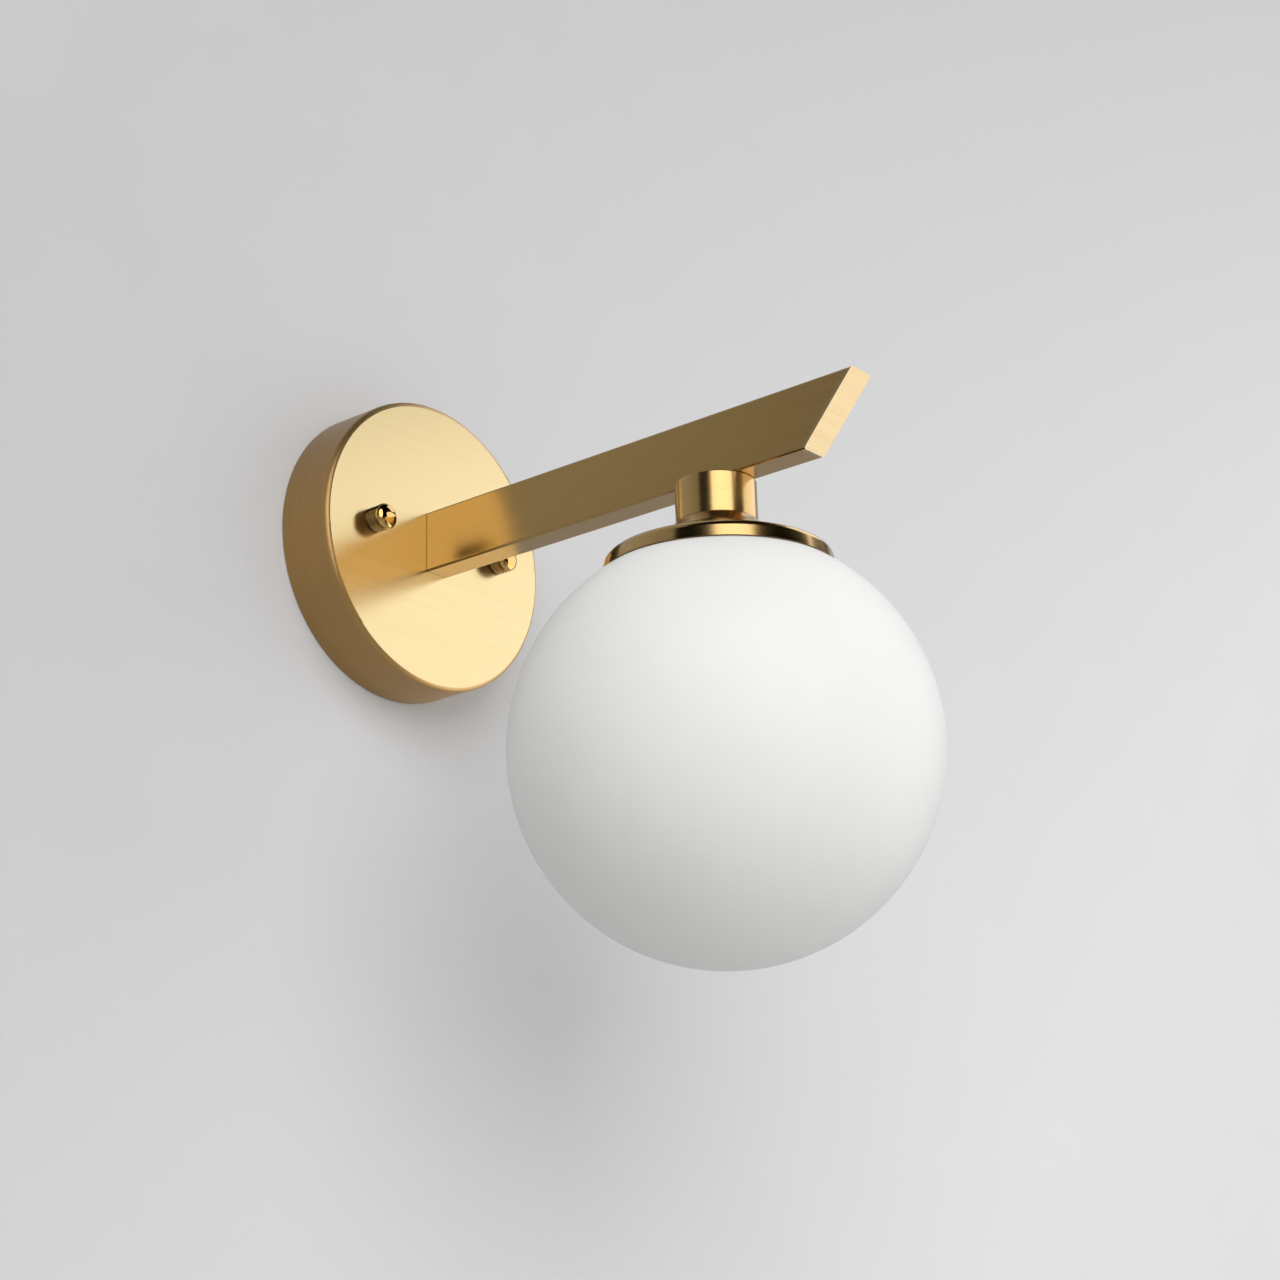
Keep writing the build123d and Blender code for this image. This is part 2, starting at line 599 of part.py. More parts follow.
def lampholder_yoke():
    """Strap bent down at both ends, with feet turned out over the holder's ears."""
    half = YOKE_SPAN / 2
    tip = half + YOKE_FOOT
    t = YOKE_THICKNESS
    bend = YOKE_BEND_RADIUS
    strap = outline(
        (-half, WASHER_BOTTOM_Z, bend),
        (half, WASHER_BOTTOM_Z, bend),
        (half, FOOT_TOP_Z, bend - t),
        (tip, FOOT_TOP_Z, 0),
        (tip, FOOT_BOTTOM_Z, 0),
        (half - t, FOOT_BOTTOM_Z, bend),
        (half - t, YOKE_BOTTOM_Z, bend - t),
        (-half + t, YOKE_BOTTOM_Z, bend - t),
        (-half + t, FOOT_BOTTOM_Z, bend),
        (-tip, FOOT_BOTTOM_Z, 0),
        (-tip, FOOT_TOP_Z, 0),
        (-half, FOOT_TOP_Z, bend - t),
    )
    yoke = extrude(Plane.XZ * strap, YOKE_STRAP / 2, both=True)
    yoke -= rod_hole(YOKE_BOTTOM_Z - 1, WASHER_BOTTOM_Z + 1)
    for side in (-1, 1):
        x = side * EAR_SCREW_X
        hole = HOLDER_SCREW_DIAMETER + 2 * THREAD_GAP
        yoke -= rod(hole, (x, 0, FOOT_BOTTOM_Z - 1), (x, 0, FOOT_TOP_Z + 1))
    return DROP * yoke


def lampholder_body():
    """Ceramic holder: round body, two ears, wire holes above and two pin slots below."""
    radius = HOLDER_DIAMETER / 2
    body = turned(
        (0, HOLDER_TOP_Z, 0),
        (radius - HOLDER_SHOULDER, HOLDER_TOP_Z, 0),
        (radius - HOLDER_SHOULDER, FOOT_BOTTOM_Z, 0),
        (radius, FOOT_BOTTOM_Z, 0),
        (radius, HOLDER_BOTTOM_Z + HOLDER_CHAMFER, 0),
        (radius - HOLDER_CHAMFER, HOLDER_BOTTOM_Z, 0),
        (0, HOLDER_BOTTOM_Z, 0),
    )
    ear_length = YOKE_SPAN + 2 * YOKE_FOOT
    ears = Pos(0, 0, EAR_BOTTOM_Z) * extrude(SlotOverall(ear_length, YOKE_STRAP), HOLDER_EAR_THICKNESS)
    body += ears
    slot = RectangleRounded(
        contact_width() + 2 * CONTACT_SLOT_CLEARANCE,
        contact_depth() + 2 * CONTACT_SLOT_CLEARANCE,
        CONTACT_WALL,
    )
    for side in (-1, 1):
        x = side * PIN_SPACING / 2
        body -= Pos(x, 0, HOLDER_BOTTOM_Z) * extrude(slot, CONTACT_LENGTH + SEAT_GAP)
        wire_hole = WIRE_DIAMETER + 2 * HOLDER_WIRE_CLEARANCE
        body -= rod(wire_hole, (x, 0, CONTACT_TOP_Z), (x, 0, HOLDER_TOP_Z + 1))
        ear_x = side * EAR_SCREW_X
        hole = HOLDER_SCREW_DIAMETER + 2 * SLIP_GAP
        body -= rod(hole, (ear_x, 0, EAR_BOTTOM_Z - 1), (ear_x, 0, FOOT_BOTTOM_Z + 1))
    return DROP * body


def lampholder_screws():
    """Two screws up through the ears into the yoke's feet."""
    screw = pan_screw(HOLDER_SCREW_DIAMETER, HOLDER_SCREW_LENGTH)
    places = [(side * EAR_SCREW_X, DROP_Y, EAR_BOTTOM_Z) for side in (-1, 1)]
    return Compound([placed(screw, seat, (0, 0, -1)) for seat in places])


def contact_width():
    """Outside width of a contact clip along X."""
    return PIN_LOOP_WIDTH + 2 * CONTACT_CLEARANCE + 2 * CONTACT_WALL


def contact_depth():
    """Outside depth of a contact clip along Y."""
    return PIN_WIRE + 2 * CONTACT_CLEARANCE + 2 * CONTACT_WALL


def lampholder_contacts():
    """Two folded spring clips that take the lamp's pins, closed at the wire end."""
    clips = []
    for side in (-1, 1):
        clip = Box(contact_width(), contact_depth(), CONTACT_LENGTH)
        clip = offset(clip, -CONTACT_WALL, openings=clip.faces().sort_by(Axis.Z)[0])
        clips.append(Pos(side * PIN_SPACING / 2, 0, CONTACT_TOP_Z - CONTACT_LENGTH / 2) * clip)
    return DROP * Compound(clips)


# ---------------------------------------------------------------- lamp

def lamp_base():
    """Moulded base of the lamp, stepped where the envelope fits over it."""
    radius = LAMP_BASE_DIAMETER / 2
    spigot = LAMP_DIAMETER / 2 - LAMP_WALL - SLIP_GAP
    base = turned(
        (0, LAMP_TOP_Z, 0),
        (radius, LAMP_TOP_Z, 0),
        (LAMP_DIAMETER / 2, LAMP_ENVELOPE_TOP_Z, 0),
        (spigot, LAMP_ENVELOPE_TOP_Z, 0),
        (spigot, LAMP_SPIGOT_Z, 0),
        (0, LAMP_SPIGOT_Z, 0),
    )
    for side in (-1, 1):
        socket = Box(PIN_LOOP_WIDTH + 2 * SLIP_GAP, PIN_WIRE + 2 * SLIP_GAP, 2 * LAMP_PIN_SOCKET)
        base -= Pos(side * PIN_SPACING / 2, 0, LAMP_TOP_Z) * socket
    return DROP * base


def lamp_pins():
    """Two looped pins: each a hairpin bent from square wire, its legs set in the base."""
    outer = SlotOverall(2 * PIN_LENGTH, PIN_LOOP_WIDTH, rotation=90)
    inner = SlotOverall(2 * (PIN_LENGTH - PIN_WIRE), PIN_LOOP_WIDTH - 2 * PIN_WIRE, rotation=90)
    upper = Pos(0, PIN_LENGTH / 2 - PIN_ROOT / 2) * Rectangle(PIN_LOOP_WIDTH, PIN_LENGTH + PIN_ROOT)
    hairpin = extrude(Plane.XZ * ((outer - inner) & upper), PIN_WIRE / 2, both=True)
    return DROP * Compound([Pos(side * PIN_SPACING / 2, 0, LAMP_TOP_Z) * hairpin for side in (-1, 1)])


def lamp_envelope():
    """Thin domed cover of the lamp, open where it slips over the base."""
    top = LAMP_ENVELOPE_TOP_Z - THREAD_GAP
    dome_z = LAMP_TIP_Z + LAMP_DIAMETER / 2
    outer = domed_plug(LAMP_DIAMETER / 2, top, dome_z)
    inner = domed_plug(LAMP_DIAMETER / 2 - LAMP_WALL, top, dome_z)
    return DROP * (outer - inner)


def domed_plug(radius, top, dome_z):
    """A round bar with its lower end domed about a point on the axis."""
    return rod(2 * radius, (0, 0, top), (0, 0, dome_z)) + Pos(0, 0, dome_z) * Sphere(radius)


def led_core():
    """Ceramic stick in the lamp with one flat for each strip."""
    core = extrude(RegularPolygon(LED_CORE_FLATS / 2, LED_SIDES, major_radius=False), -LED_CORE_LENGTH)
    return DROP * Pos(0, 0, LAMP_SPIGOT_Z) * core


def led_strips():
    """Phosphor-coated strips, one on each flat of the core."""
    middle = LAMP_SPIGOT_Z - LED_CORE_LENGTH / 2
    strips = []
    for side in range(LED_SIDES):
        strip = Box(LED_STRIP_THICKNESS, LED_STRIP_WIDTH, LED_CORE_LENGTH - 2 * LED_STRIP_MARGIN)
        out = LED_CORE_FLATS / 2 + LED_STRIP_THICKNESS / 2
        turn = 360 / LED_SIDES * (side + 0.5)
        strips.append(Pos(0, 0, middle) * Rot(0, 0, turn) * Pos(out, 0, 0) * strip)
    return DROP * Compound(strips)


# ---------------------------------------------------------------- glass

def glass_globe():
    """Blown ball with a flat shoulder under the dish's rim and a short neck above it."""
    inner_radius = GLOBE_RADIUS - GLOBE_WALL
    shoulder_under = GLASS_SHOULDER_Z - GLOBE_WALL
    inner_shoulder = sqrt(inner_radius**2 - (shoulder_under - GLOBE_CENTRE_Z)**2)
    neck = NECK_DIAMETER / 2
    bore = neck - GLOBE_WALL
    south = GLOBE_CENTRE_Z - GLOBE_RADIUS
    inner_south = GLOBE_CENTRE_Z - inner_radius
    section = (
        ThreePointArc((0, south), (GLOBE_RADIUS, GLOBE_CENTRE_Z), (SHOULDER_RADIUS, GLASS_SHOULDER_Z))
        + Polyline(
            (SHOULDER_RADIUS, GLASS_SHOULDER_Z),
            (neck, GLASS_SHOULDER_Z),
            (neck, NECK_TOP_Z - NECK_LIP_CHAMFER),
            (neck - NECK_LIP_CHAMFER, NECK_TOP_Z),
            (bore + NECK_LIP_CHAMFER, NECK_TOP_Z),
            (bore, NECK_TOP_Z - NECK_LIP_CHAMFER),
            (bore, shoulder_under),
            (inner_shoulder, shoulder_under),
        )
        + ThreePointArc((inner_shoulder, shoulder_under), (inner_radius, GLOBE_CENTRE_Z), (0, inner_south))
        + Line((0, inner_south), (0, south))
    )
    return DROP * revolve(Plane.XZ * make_face(section), Axis.Z)


def neck_gasket():
    """Soft ring between the neck's lip and the dish."""
    ring = washer(NECK_DIAMETER, NECK_DIAMETER - 2 * GLOBE_WALL, GASKET_THICKNESS)
    return DROP * Pos(0, 0, NECK_TOP_Z) * ring


# ---------------------------------------------------------------- terminal block and earth

def pole_places():
    """X of each pole, left to right."""
    return [(pole - (POLES - 1) / 2) * POLE_PITCH for pole in range(POLES)]


def terminal_block():
    """Moulded block: one rounded tower for each pole, joined by lower webs."""
    back_y = -BRACKET_THICKNESS
    web = Box(
        (POLES - 1) * POLE_PITCH,
        BLOCK_WEB_DEPTH,
        BLOCK_HEIGHT - 2 * BLOCK_WEB_INSET,
        align=(Align.CENTER, Align.MAX, Align.CENTER),
    )
    block = Pos(0, back_y, BLOCK_MIDDLE_Z) * web
    for x in pole_places():
        plan = Pos(x, 0) * RectangleRounded(BLOCK_TOWER, BLOCK_DEPTH, BLOCK_CORNER)
        tower = extrude(plan, BLOCK_HEIGHT)
        block += Pos(0, back_y - BLOCK_DEPTH / 2, BLOCK_BOTTOM_Z) * tower
    for x in pole_places():
        bore = BARREL_DIAMETER + 2 * SLIP_GAP
        block -= rod(bore, (x, BARREL_Y, BLOCK_BOTTOM_Z - 1), (x, BARREL_Y, BLOCK_TOP_Z + 1))
        for z in terminal_screw_heights():
            front = (x, back_y - BLOCK_DEPTH - 1, z)
            block -= rod(TERMINAL_ACCESS_DIAMETER, (x, BARREL_Y, z), front)
    for side in (-1, 1):
        x = side * POLE_PITCH / 2
        back = (x, back_y + 1, BLOCK_MIDDLE_Z)
        seat = (x, back_y - BLOCK_WEB_DEPTH, BLOCK_MIDDLE_Z)
        front = (x, back_y - BLOCK_DEPTH - 1, BLOCK_MIDDLE_Z)
        block -= rod(BLOCK_SCREW_DIAMETER + 2 * SLIP_GAP, back, front)
        block -= rod(BLOCK_COUNTERBORE, seat, front)
    return block


def terminal_screw_heights():
    """Heights of the two screws of each pole."""
    return [BLOCK_MIDDLE_Z + side * TERMINAL_SCREW_SPACING / 2 for side in (-1, 1)]


def terminal_barrels():
    """Brass tubes that hold the wire ends, tapped for two screws each."""
    half = BARREL_LENGTH / 2
    barrels = []
    for x in pole_places():
        low = (x, BARREL_Y, BLOCK_MIDDLE_Z - half)
        high = (x, BARREL_Y, BLOCK_MIDDLE_Z + half)
        barrel = rod(BARREL_DIAMETER, low, high) - rod(BARREL_BORE, low, high)
        for z in terminal_screw_heights():
            hole = TERMINAL_SCREW_DIAMETER + 2 * THREAD_GAP
            barrel -= rod(hole, (x, BARREL_Y, z), (x, BARREL_Y - BARREL_DIAMETER, z))
        barrels.append(barrel)
    return Compound(barrels)


def terminal_screws():
    """Slotted grub screws, two to a pole, driven in from the front."""
    tip_y = BARREL_Y - WIRE_DIAMETER / 2 - SLIP_GAP
    screw = rod(TERMINAL_SCREW_DIAMETER, (0, 0, 0), (0, 0, TERMINAL_SCREW_LENGTH))
    screw -= Pos(0, 0, TERMINAL_SCREW_LENGTH) * Box(TERMINAL_SCREW_DIAMETER, 0.6, 1.6)
    screws = []
    for x in pole_places():
        for z in terminal_screw_heights():
            screws.append(placed(screw, (x, tip_y, z), (0, -1, 0)))
    return Compound(screws)


def block_screws():
    """Two screws that hold the terminal block to the bracket's tab."""
    screw = pan_screw(BLOCK_SCREW_DIAMETER, BLOCK_SCREW_LENGTH)
    seat_y = -BRACKET_THICKNESS - BLOCK_WEB_DEPTH
    places = [(side * POLE_PITCH / 2, seat_y, BLOCK_MIDDLE_Z) for side in (-1, 1)]
    return Compound([placed(screw, seat, (0, -1, 0)) for seat in places])


def earth_tag():
    """Ring tag on the earth screw, its crimped tail standing up."""
    ring = Circle(EARTH_TAG_DIAMETER / 2)
    tail_middle = EARTH_TAIL_Z + EARTH_TAG_TAIL_LENGTH / 2
    tail = Pos(0, tail_middle) * Rectangle(EARTH_TAG_TAIL_WIDTH, EARTH_TAG_TAIL_LENGTH)
    plate = extrude(ring + tail - Circle(STUD_DIAMETER / 2 + SLIP_GAP), EARTH_TAG_THICKNESS)
    start = (0, EARTH_CRIMP_Z, EARTH_CRIMP_AXIS)
    floor = (0, EARTH_CRIMP_FLOOR_Z, EARTH_CRIMP_AXIS)
    end = (0, EARTH_CRIMP_Z + EARTH_CRIMP_LENGTH, EARTH_CRIMP_AXIS)
    sleeve = rod(2 * EARTH_CRIMP_AXIS, start, end)
    tag = plate + sleeve - rod(WIRE_DIAMETER + 2 * THREAD_GAP, floor, end)
    return placed(tag, (EARTH_SCREW_X, -BRACKET_THICKNESS, 0), (0, -1, 0))


def earth_screw():
    """Pan-head screw through the ring tag into the bracket."""
    length = BRACKET_THICKNESS + EARTH_TAG_THICKNESS - SLIP_GAP
    screw = pan_screw(STUD_DIAMETER, length)
    seat = (EARTH_SCREW_X, -BRACKET_THICKNESS - EARTH_TAG_THICKNESS, 0)
    return placed(screw, seat, (0, -1, 0))


# ---------------------------------------------------------------- wiring

def lamp_wire(side):
    """One lamp lead: terminal, bushing, arm, rod, then into the holder."""
    pole_x = side * POLE_PITCH
    pair_x = side * WIRE_PAIR_SPACING / 2
    holder_x = side * PIN_SPACING / 2
    points = [
        (pole_x, BARREL_Y, BLOCK_MIDDLE_Z + 2.5),
        (pole_x, BARREL_Y, -6.5),
        (pair_x, BARREL_Y - 7.5, 0),
        (pair_x, FACE_Y - 20, 0),
        (pair_x, DROP_Y, WIRE_ROD_TOP_Z),
        (pair_x, DROP_Y, ROD_BOTTOM_Z - 0.4),
        (holder_x, DROP_Y, ROD_BOTTOM_Z - 3.8),
        (holder_x, DROP_Y, CONTACT_TOP_Z + SLIP_GAP),
    ]
    radii = bend_radii(points)
    radii[points.index((pair_x, DROP_Y, WIRE_ROD_TOP_Z)) - 1] = WIRE_ROD_BEND
    return wire(points, radii)


def earth_wire():
    """Earth lead: middle terminal, up over the bracket, back down into the ring tag."""
    tail_y = -BRACKET_THICKNESS - EARTH_CRIMP_AXIS
    points = [
        (0, BARREL_Y, BLOCK_MIDDLE_Z + 2.5),
        (0, BARREL_Y, -4.0),
        (1.2, BARREL_Y - 0.8, 12.0),
        (4.6, BARREL_Y, 22.0),
        (EARTH_SCREW_X, tail_y, 21.0),
        (EARTH_SCREW_X, tail_y, EARTH_CRIMP_FLOOR_Z + SLIP_GAP),
    ]
    return wire(points, bend_radii(points))


# ---------------------------------------------------------------- write every piece

PIECES = {
    "wall_plate": wall_plate,
    "wall_bracket": wall_bracket,
    "plate_studs": plate_studs,
    "stud_lock_nuts": stud_lock_nuts,
    "arm_tube": arm_tube,
    "arm_end_cap": arm_end_cap,
    "arm_root_plug": arm_root_plug,
    "arm_screws": arm_screws,
    "arm_screw_washers": arm_screw_washers,
    "wire_bushing": wire_bushing,
    "drop_block": drop_block,
    "drop_rod": drop_rod,
    "socket_cup": socket_cup,
    "globe_dish": globe_dish,
    "neck_ring": neck_ring,
    "dish_washer": dish_washer,
    "rod_nut": rod_nut,
    "lampholder_yoke": lampholder_yoke,
    "lampholder_body": lampholder_body,
    "lampholder_screws": lampholder_screws,
    "lampholder_contacts": lampholder_contacts,
    "lamp_base": lamp_base,
    "lamp_pins": lamp_pins,
    "lamp_envelope": lamp_envelope,
    "led_core": led_core,
    "led_strips": led_strips,
    "glass_globe": glass_globe,
    "neck_gasket": neck_gasket,
    "terminal_block": terminal_block,
    "terminal_barrels": terminal_barrels,
    "terminal_screws": terminal_screws,
    "block_screws": block_screws,
    "earth_tag": earth_tag,
    "earth_screw": earth_screw,
    "earth_wire": earth_wire,
}

os.makedirs("parts", exist_ok=True)
for name, make in PIECES.items():
    export_step(make(), f"parts/{name}.step")
for name, (stud_x, stud_z) in zip(("cap_nut_left", "cap_nut_right"), stud_places()):
    export_step(cap_nut(stud_x, stud_z), f"parts/{name}.step")
for name, side in (("live_wire", -1), ("neutral_wire", 1)):
    export_step(lamp_wire(side), f"parts/{name}.step")
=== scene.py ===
"""Globe wall sconce: finishes, knurled cap nuts, blown ball, studio and camera."""

from math import asin, cos, pi, radians, sin

import bmesh
import bpy
from mathutils import Matrix, Vector


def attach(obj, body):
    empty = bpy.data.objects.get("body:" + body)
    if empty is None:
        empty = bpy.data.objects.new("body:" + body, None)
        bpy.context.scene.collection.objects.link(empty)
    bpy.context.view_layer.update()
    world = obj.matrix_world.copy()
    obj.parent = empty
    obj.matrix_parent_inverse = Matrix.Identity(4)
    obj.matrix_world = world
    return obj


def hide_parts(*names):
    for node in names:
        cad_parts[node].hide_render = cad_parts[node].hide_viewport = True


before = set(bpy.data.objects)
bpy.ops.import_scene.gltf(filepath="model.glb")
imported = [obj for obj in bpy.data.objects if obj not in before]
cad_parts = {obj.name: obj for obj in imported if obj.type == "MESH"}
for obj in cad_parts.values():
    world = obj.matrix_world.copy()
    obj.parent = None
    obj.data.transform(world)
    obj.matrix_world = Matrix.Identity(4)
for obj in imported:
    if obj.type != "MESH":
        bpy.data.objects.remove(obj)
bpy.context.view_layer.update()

MM = 0.001
DROP_AXIS = (0.0, -0.167, 0.0)   # upright line through cup, dish and ball
PLATE_FACE_Y = -0.025

# Cap nuts.
NUT_X = 34.5 * MM
NUT_Z = 1.5 * MM
NUT_RADIUS = 5.2 * MM
NUT_KNURL = 5.9 * MM
NUT_DOME = 2.8 * MM
NUT_BORE = 2.05 * MM
NUT_BORE_DEPTH = 7.2 * MM
NUT_CHAMFER = 0.1 * MM
NUT_STEPS = 96
DOME_STEPS = 24
DOME_POWER = 0.85           # under 1 makes the dome fuller than an ellipse
COLLAR_FOOT = 0.35 * MM     # the plain collar over the knurl flares out between these two, down from its top
COLLAR_EDGE = 0.2 * MM
NUT_SHARP_ANGLE = 35
KNURL_DEPTH = 0.42 * MM
KNURL_AROUND = 26           # the real knurl has a 0.6 mm pitch, drawn coarser so that it shows
KNURL_ROWS = 6
KNURL_INSET = 0.3 * MM      # plain band between the knurl and the plate
KNURL_LENGTH = NUT_KNURL - 0.9 * MM
POINT_TIP = 0.12            # size of a knurl point's flat top, as a share of its foot
POINT_WIDTH = 0.54          # half width of its foot round the nut, as a share of the pitch
POINT_LENGTH = 1.04         # half length of its foot along the nut, as a share of the rows' step

# Blown ball.
GLOBE_RADIUS = 76.95 * MM
GLOBE_WALL = 2.5 * MM
GLOBE_CENTRE_Z = -112.009 * MM
GLOBE_SHARP_ANGLE = 40
SHOULDER_Z = -47.9 * MM
NECK_TOP_Z = -42.892 * MM
NECK_RADIUS = 38 * MM
LIP = 0.6 * MM
STEPS_ROUND, STEPS_OUTSIDE, STEPS_INSIDE = 192, 96, 64


# ---------------------------------------------------------------- helpers

def linear(code):
    """Linear colour from an sRGB hex code."""
    parts = [int(code[i:i + 2], 16) / 255 for i in (1, 3, 5)]
    return [c / 12.92 if c <= 0.04045 else ((c + 0.055) / 1.055) ** 2.4 for c in parts] + [1.0]


def add(tree, kind, sockets=(), **settings):
    """Adds one node with its settings. A socket's value is a number, a colour or an output to link."""
    node = tree.nodes.new(kind)
    for name, value in settings.items():
        setattr(node, name, value)
    for name, value in dict(sockets).items():
        if isinstance(value, bpy.types.NodeSocket):
            tree.links.new(value, node.inputs[name])
        else:
            node.inputs[name].default_value = value
    return node


def finish_of(name, shader_values):
    """A new material: its node tree and its surface shader with plain values set on its own sockets."""
    material = bpy.data.materials.new(name)
    material.use_nodes = True
    tree = material.node_tree
    tree.nodes.clear()
    shader = add(tree, "ShaderNodeBsdfPrincipled", shader_values)
    add(tree, "ShaderNodeOutputMaterial", {"Surface": shader.outputs[0]})
    return material, tree, shader


def object_place(tree):
    """The shaded point in Object coordinates."""
    return add(tree, "ShaderNodeTexCoord").outputs["Object"]


def place_in(tree, scale=(1.0, 1.0, 1.0), centre=(0.0, 0.0, 0.0)):
    """Object coordinates, moved so that centre is the origin and then scaled."""
    shift = add(tree, "ShaderNodeVectorMath", {0: object_place(tree), 1: centre}, operation="SUBTRACT")
    return add(tree, "ShaderNodeVectorMath", {0: shift.outputs[0], 1: scale}, operation="MULTIPLY").outputs[0]


def noise(tree, place, detail=2.0, **sockets):
    """Noise in coordinates that are already scaled to its pitch."""
    return add(tree, "ShaderNodeTexNoise", {"Vector": place, "Scale": 1.0, "Detail": detail,
                                            **sockets}).outputs[0]


def noise_at(tree, pitch, detail=2.0):
    """Noise in Object coordinates at a pitch in metres."""
    return add(tree, "ShaderNodeTexNoise", {"Vector": place_in(tree), "Scale": 1 / pitch,
                                            "Detail": detail}).outputs[0]


# Nearly all of a noise texture's values lie between the first two, and most between the others.
NOISE_SPREAD = (0.3, 0.7)
NOISE_MIDDLE = (0.35, 0.65)


def range_of(tree, value, low, high, start=0.0, end=1.0):
    """A value between low and high mapped to start and end."""
    return add(tree, "ShaderNodeMapRange", {"Value": value, "From Min": low, "From Max": high,
                                            "To Min": start, "To Max": end}).outputs[0]


def colour_mix(tree, share, first, second):
    """A mix of two colours, each an output or a hex code."""
    first, second = (linear(c) if isinstance(c, str) else c for c in (first, second))
    return add(tree, "ShaderNodeMix", {0: share, 6: first, 7: second}, data_type="RGBA").outputs[2]


def dress(names, *materials):
    """Gives the finishes to the slots of CAD nodes, or of new pieces."""
    for name in names:
        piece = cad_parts.get(name) or bpy.data.objects[name]
        piece.data.materials.clear()
        for material in materials:
            piece.data.materials.append(material)


# ---------------------------------------------------------------- brass

# Brass plate on steel, satin brushed and lacquered. The brushing leaves fine scratches along one
# direction, so reflections stay crisp along the grain and smear across it. The lacquer adds a thin
# clear gloss that pales the highlights.
BRASS_VALUES = {"Metallic": 1.0, "Anisotropic": 0.5, "Anisotropic Rotation": 0.25,
                "Coat Weight": 0.5, "Coat Roughness": 0.12, "Coat IOR": 1.5}
SCRATCH_PITCH = 0.35 * MM   # real scratches are 0.05 mm apart, drawn coarser so that they show
SCRATCH_LENGTH = 40 * MM
SCRATCH_DEPTH = 0.004 * MM
STREAK_PITCH = 3.0 * MM     # broad streaks left by the belt's passes


def brushing(tree, shader, grain_coordinates, grain_direction, bump=0.12, roughness=(0.18, 0.25)):
    """Scratches and streaks in the grain's coordinates. Returns how light they are, from 0 to 1."""
    fine = noise(tree, grain_coordinates, detail=3.0, Roughness=0.6)
    wide = add(tree, "ShaderNodeVectorMath", {0: grain_coordinates, "Scale": SCRATCH_PITCH / STREAK_PITCH},
               operation="SCALE")
    streak = noise(tree, wide.outputs[0])
    mixed = add(tree, "ShaderNodeMix", {0: 0.5, 2: fine, 3: streak}).outputs[0]
    tree.links.new(range_of(tree, mixed, *NOISE_SPREAD, *roughness), shader.inputs["Roughness"])
    scratches = add(tree, "ShaderNodeBump", {"Height": fine, "Strength": bump, "Distance": SCRATCH_DEPTH})
    tree.links.new(scratches.outputs[0], shader.inputs["Normal"])
    tree.links.new(grain_direction, shader.inputs["Tangent"])
    return range_of(tree, mixed, *NOISE_SPREAD)


def straight_grain(tree, direction):
    """Coordinates and direction for a grain along X or along Y."""
    along, across = 1 / SCRATCH_LENGTH, 1 / SCRATCH_PITCH
    scale = [along if d else across for d in direction]
    return place_in(tree, scale), add(tree, "ShaderNodeCombineXYZ", dict(enumerate(direction))).outputs[0]


def turned_grain(tree, axis, centre):
    """Coordinates and direction for a grain that runs round an axis, as a lathe or a wheel leaves it."""
    at = place_in(tree, centre=centre)
    flat = [0.0 if a else 1.0 for a in axis]
    radial = add(tree, "ShaderNodeVectorMath", {0: at, 1: flat}, operation="MULTIPLY")
    radius = add(tree, "ShaderNodeVectorMath", {0: radial.outputs[0]}, operation="LENGTH").outputs["Value"]
    height = add(tree, "ShaderNodeVectorMath", {0: at, 1: axis}, operation="DOT_PRODUCT").outputs["Value"]
    section = add(tree, "ShaderNodeCombineXYZ", {"X": radius, "Y": height})
    rings = add(tree, "ShaderNodeVectorMath", {0: section.outputs[0], "Scale": 1 / SCRATCH_PITCH},
                operation="SCALE")
    slow = add(tree, "ShaderNodeVectorMath", {0: at, "Scale": 1 / SCRATCH_LENGTH}, operation="SCALE")
    total = add(tree, "ShaderNodeVectorMath", {0: rings.outputs[0], 1: slow.outputs[0]}, operation="ADD")
    around = add(tree, "ShaderNodeVectorMath", {0: axis, 1: at}, operation="CROSS_PRODUCT")
    return total.outputs[0], around.outputs[0]


# Arm: brushed lengthwise on a belt before the end is closed. A line of painted shade darkens its root where
# it meets the plate; the line starts and is full at these distances from the plate.
ROOT_SHADE_START, ROOT_SHADE_FULL = 0.7 * MM, 0.1 * MM
arm_brass, tree, shader = finish_of("satin brass, brushed lengthwise", {**BRASS_VALUES, "Coat Weight": 0.3})
streaks = brushing(tree, shader, *straight_grain(tree, (0.0, 1.0, 0.0)))
# The arm's brass is painted darker and more saturated than the plate's face: painted shade.
unshaded = colour_mix(tree, streaks, "#A98A53", "#B1925C")
along = add(tree, "ShaderNodeSeparateXYZ", {0: object_place(tree)}).outputs["Y"]
# Painted shade: the arm's colour turns darker at its root, where it meets the plate.
root_shade = range_of(tree, along, PLATE_FACE_Y - ROOT_SHADE_START, PLATE_FACE_Y - ROOT_SHADE_FULL)
tree.links.new(colour_mix(tree, root_shade, unshaded, "#86652F"), shader.inputs["Base Color"])

# Mitred end: ground flush across its width.
end_brass, tree, shader = finish_of("satin brass, ground across", BRASS_VALUES)
streaks = brushing(tree, shader, *straight_grain(tree, (1.0, 0.0, 0.0)), bump=0.06, roughness=(0.2, 0.25))
tree.links.new(colour_mix(tree, streaks, "#A38F68", "#B49E76"), shader.inputs["Base Color"])

# Cup: turned from bar, then rubbed with a fine cloth on the lathe.
# Dish: spun from sheet and burnished by the roller, so it is glossier.
round_brasses = []
for name, roughness in (("satin brass, turned", (0.22, 0.28)), ("satin brass, spun", (0.15, 0.2))):
    material, tree, shader = finish_of(name, {**BRASS_VALUES, "Anisotropic": 0.3})
    streaks = brushing(tree, shader, *turned_grain(tree, (0.0, 0.0, 1.0), DROP_AXIS), bump=0.1,
                       roughness=roughness)
    tree.links.new(colour_mix(tree, streaks, "#B8965A", "#C1A167"), shader.inputs["Base Color"])
    round_brasses.append(material)
turned_brass, spun_brass = round_brasses
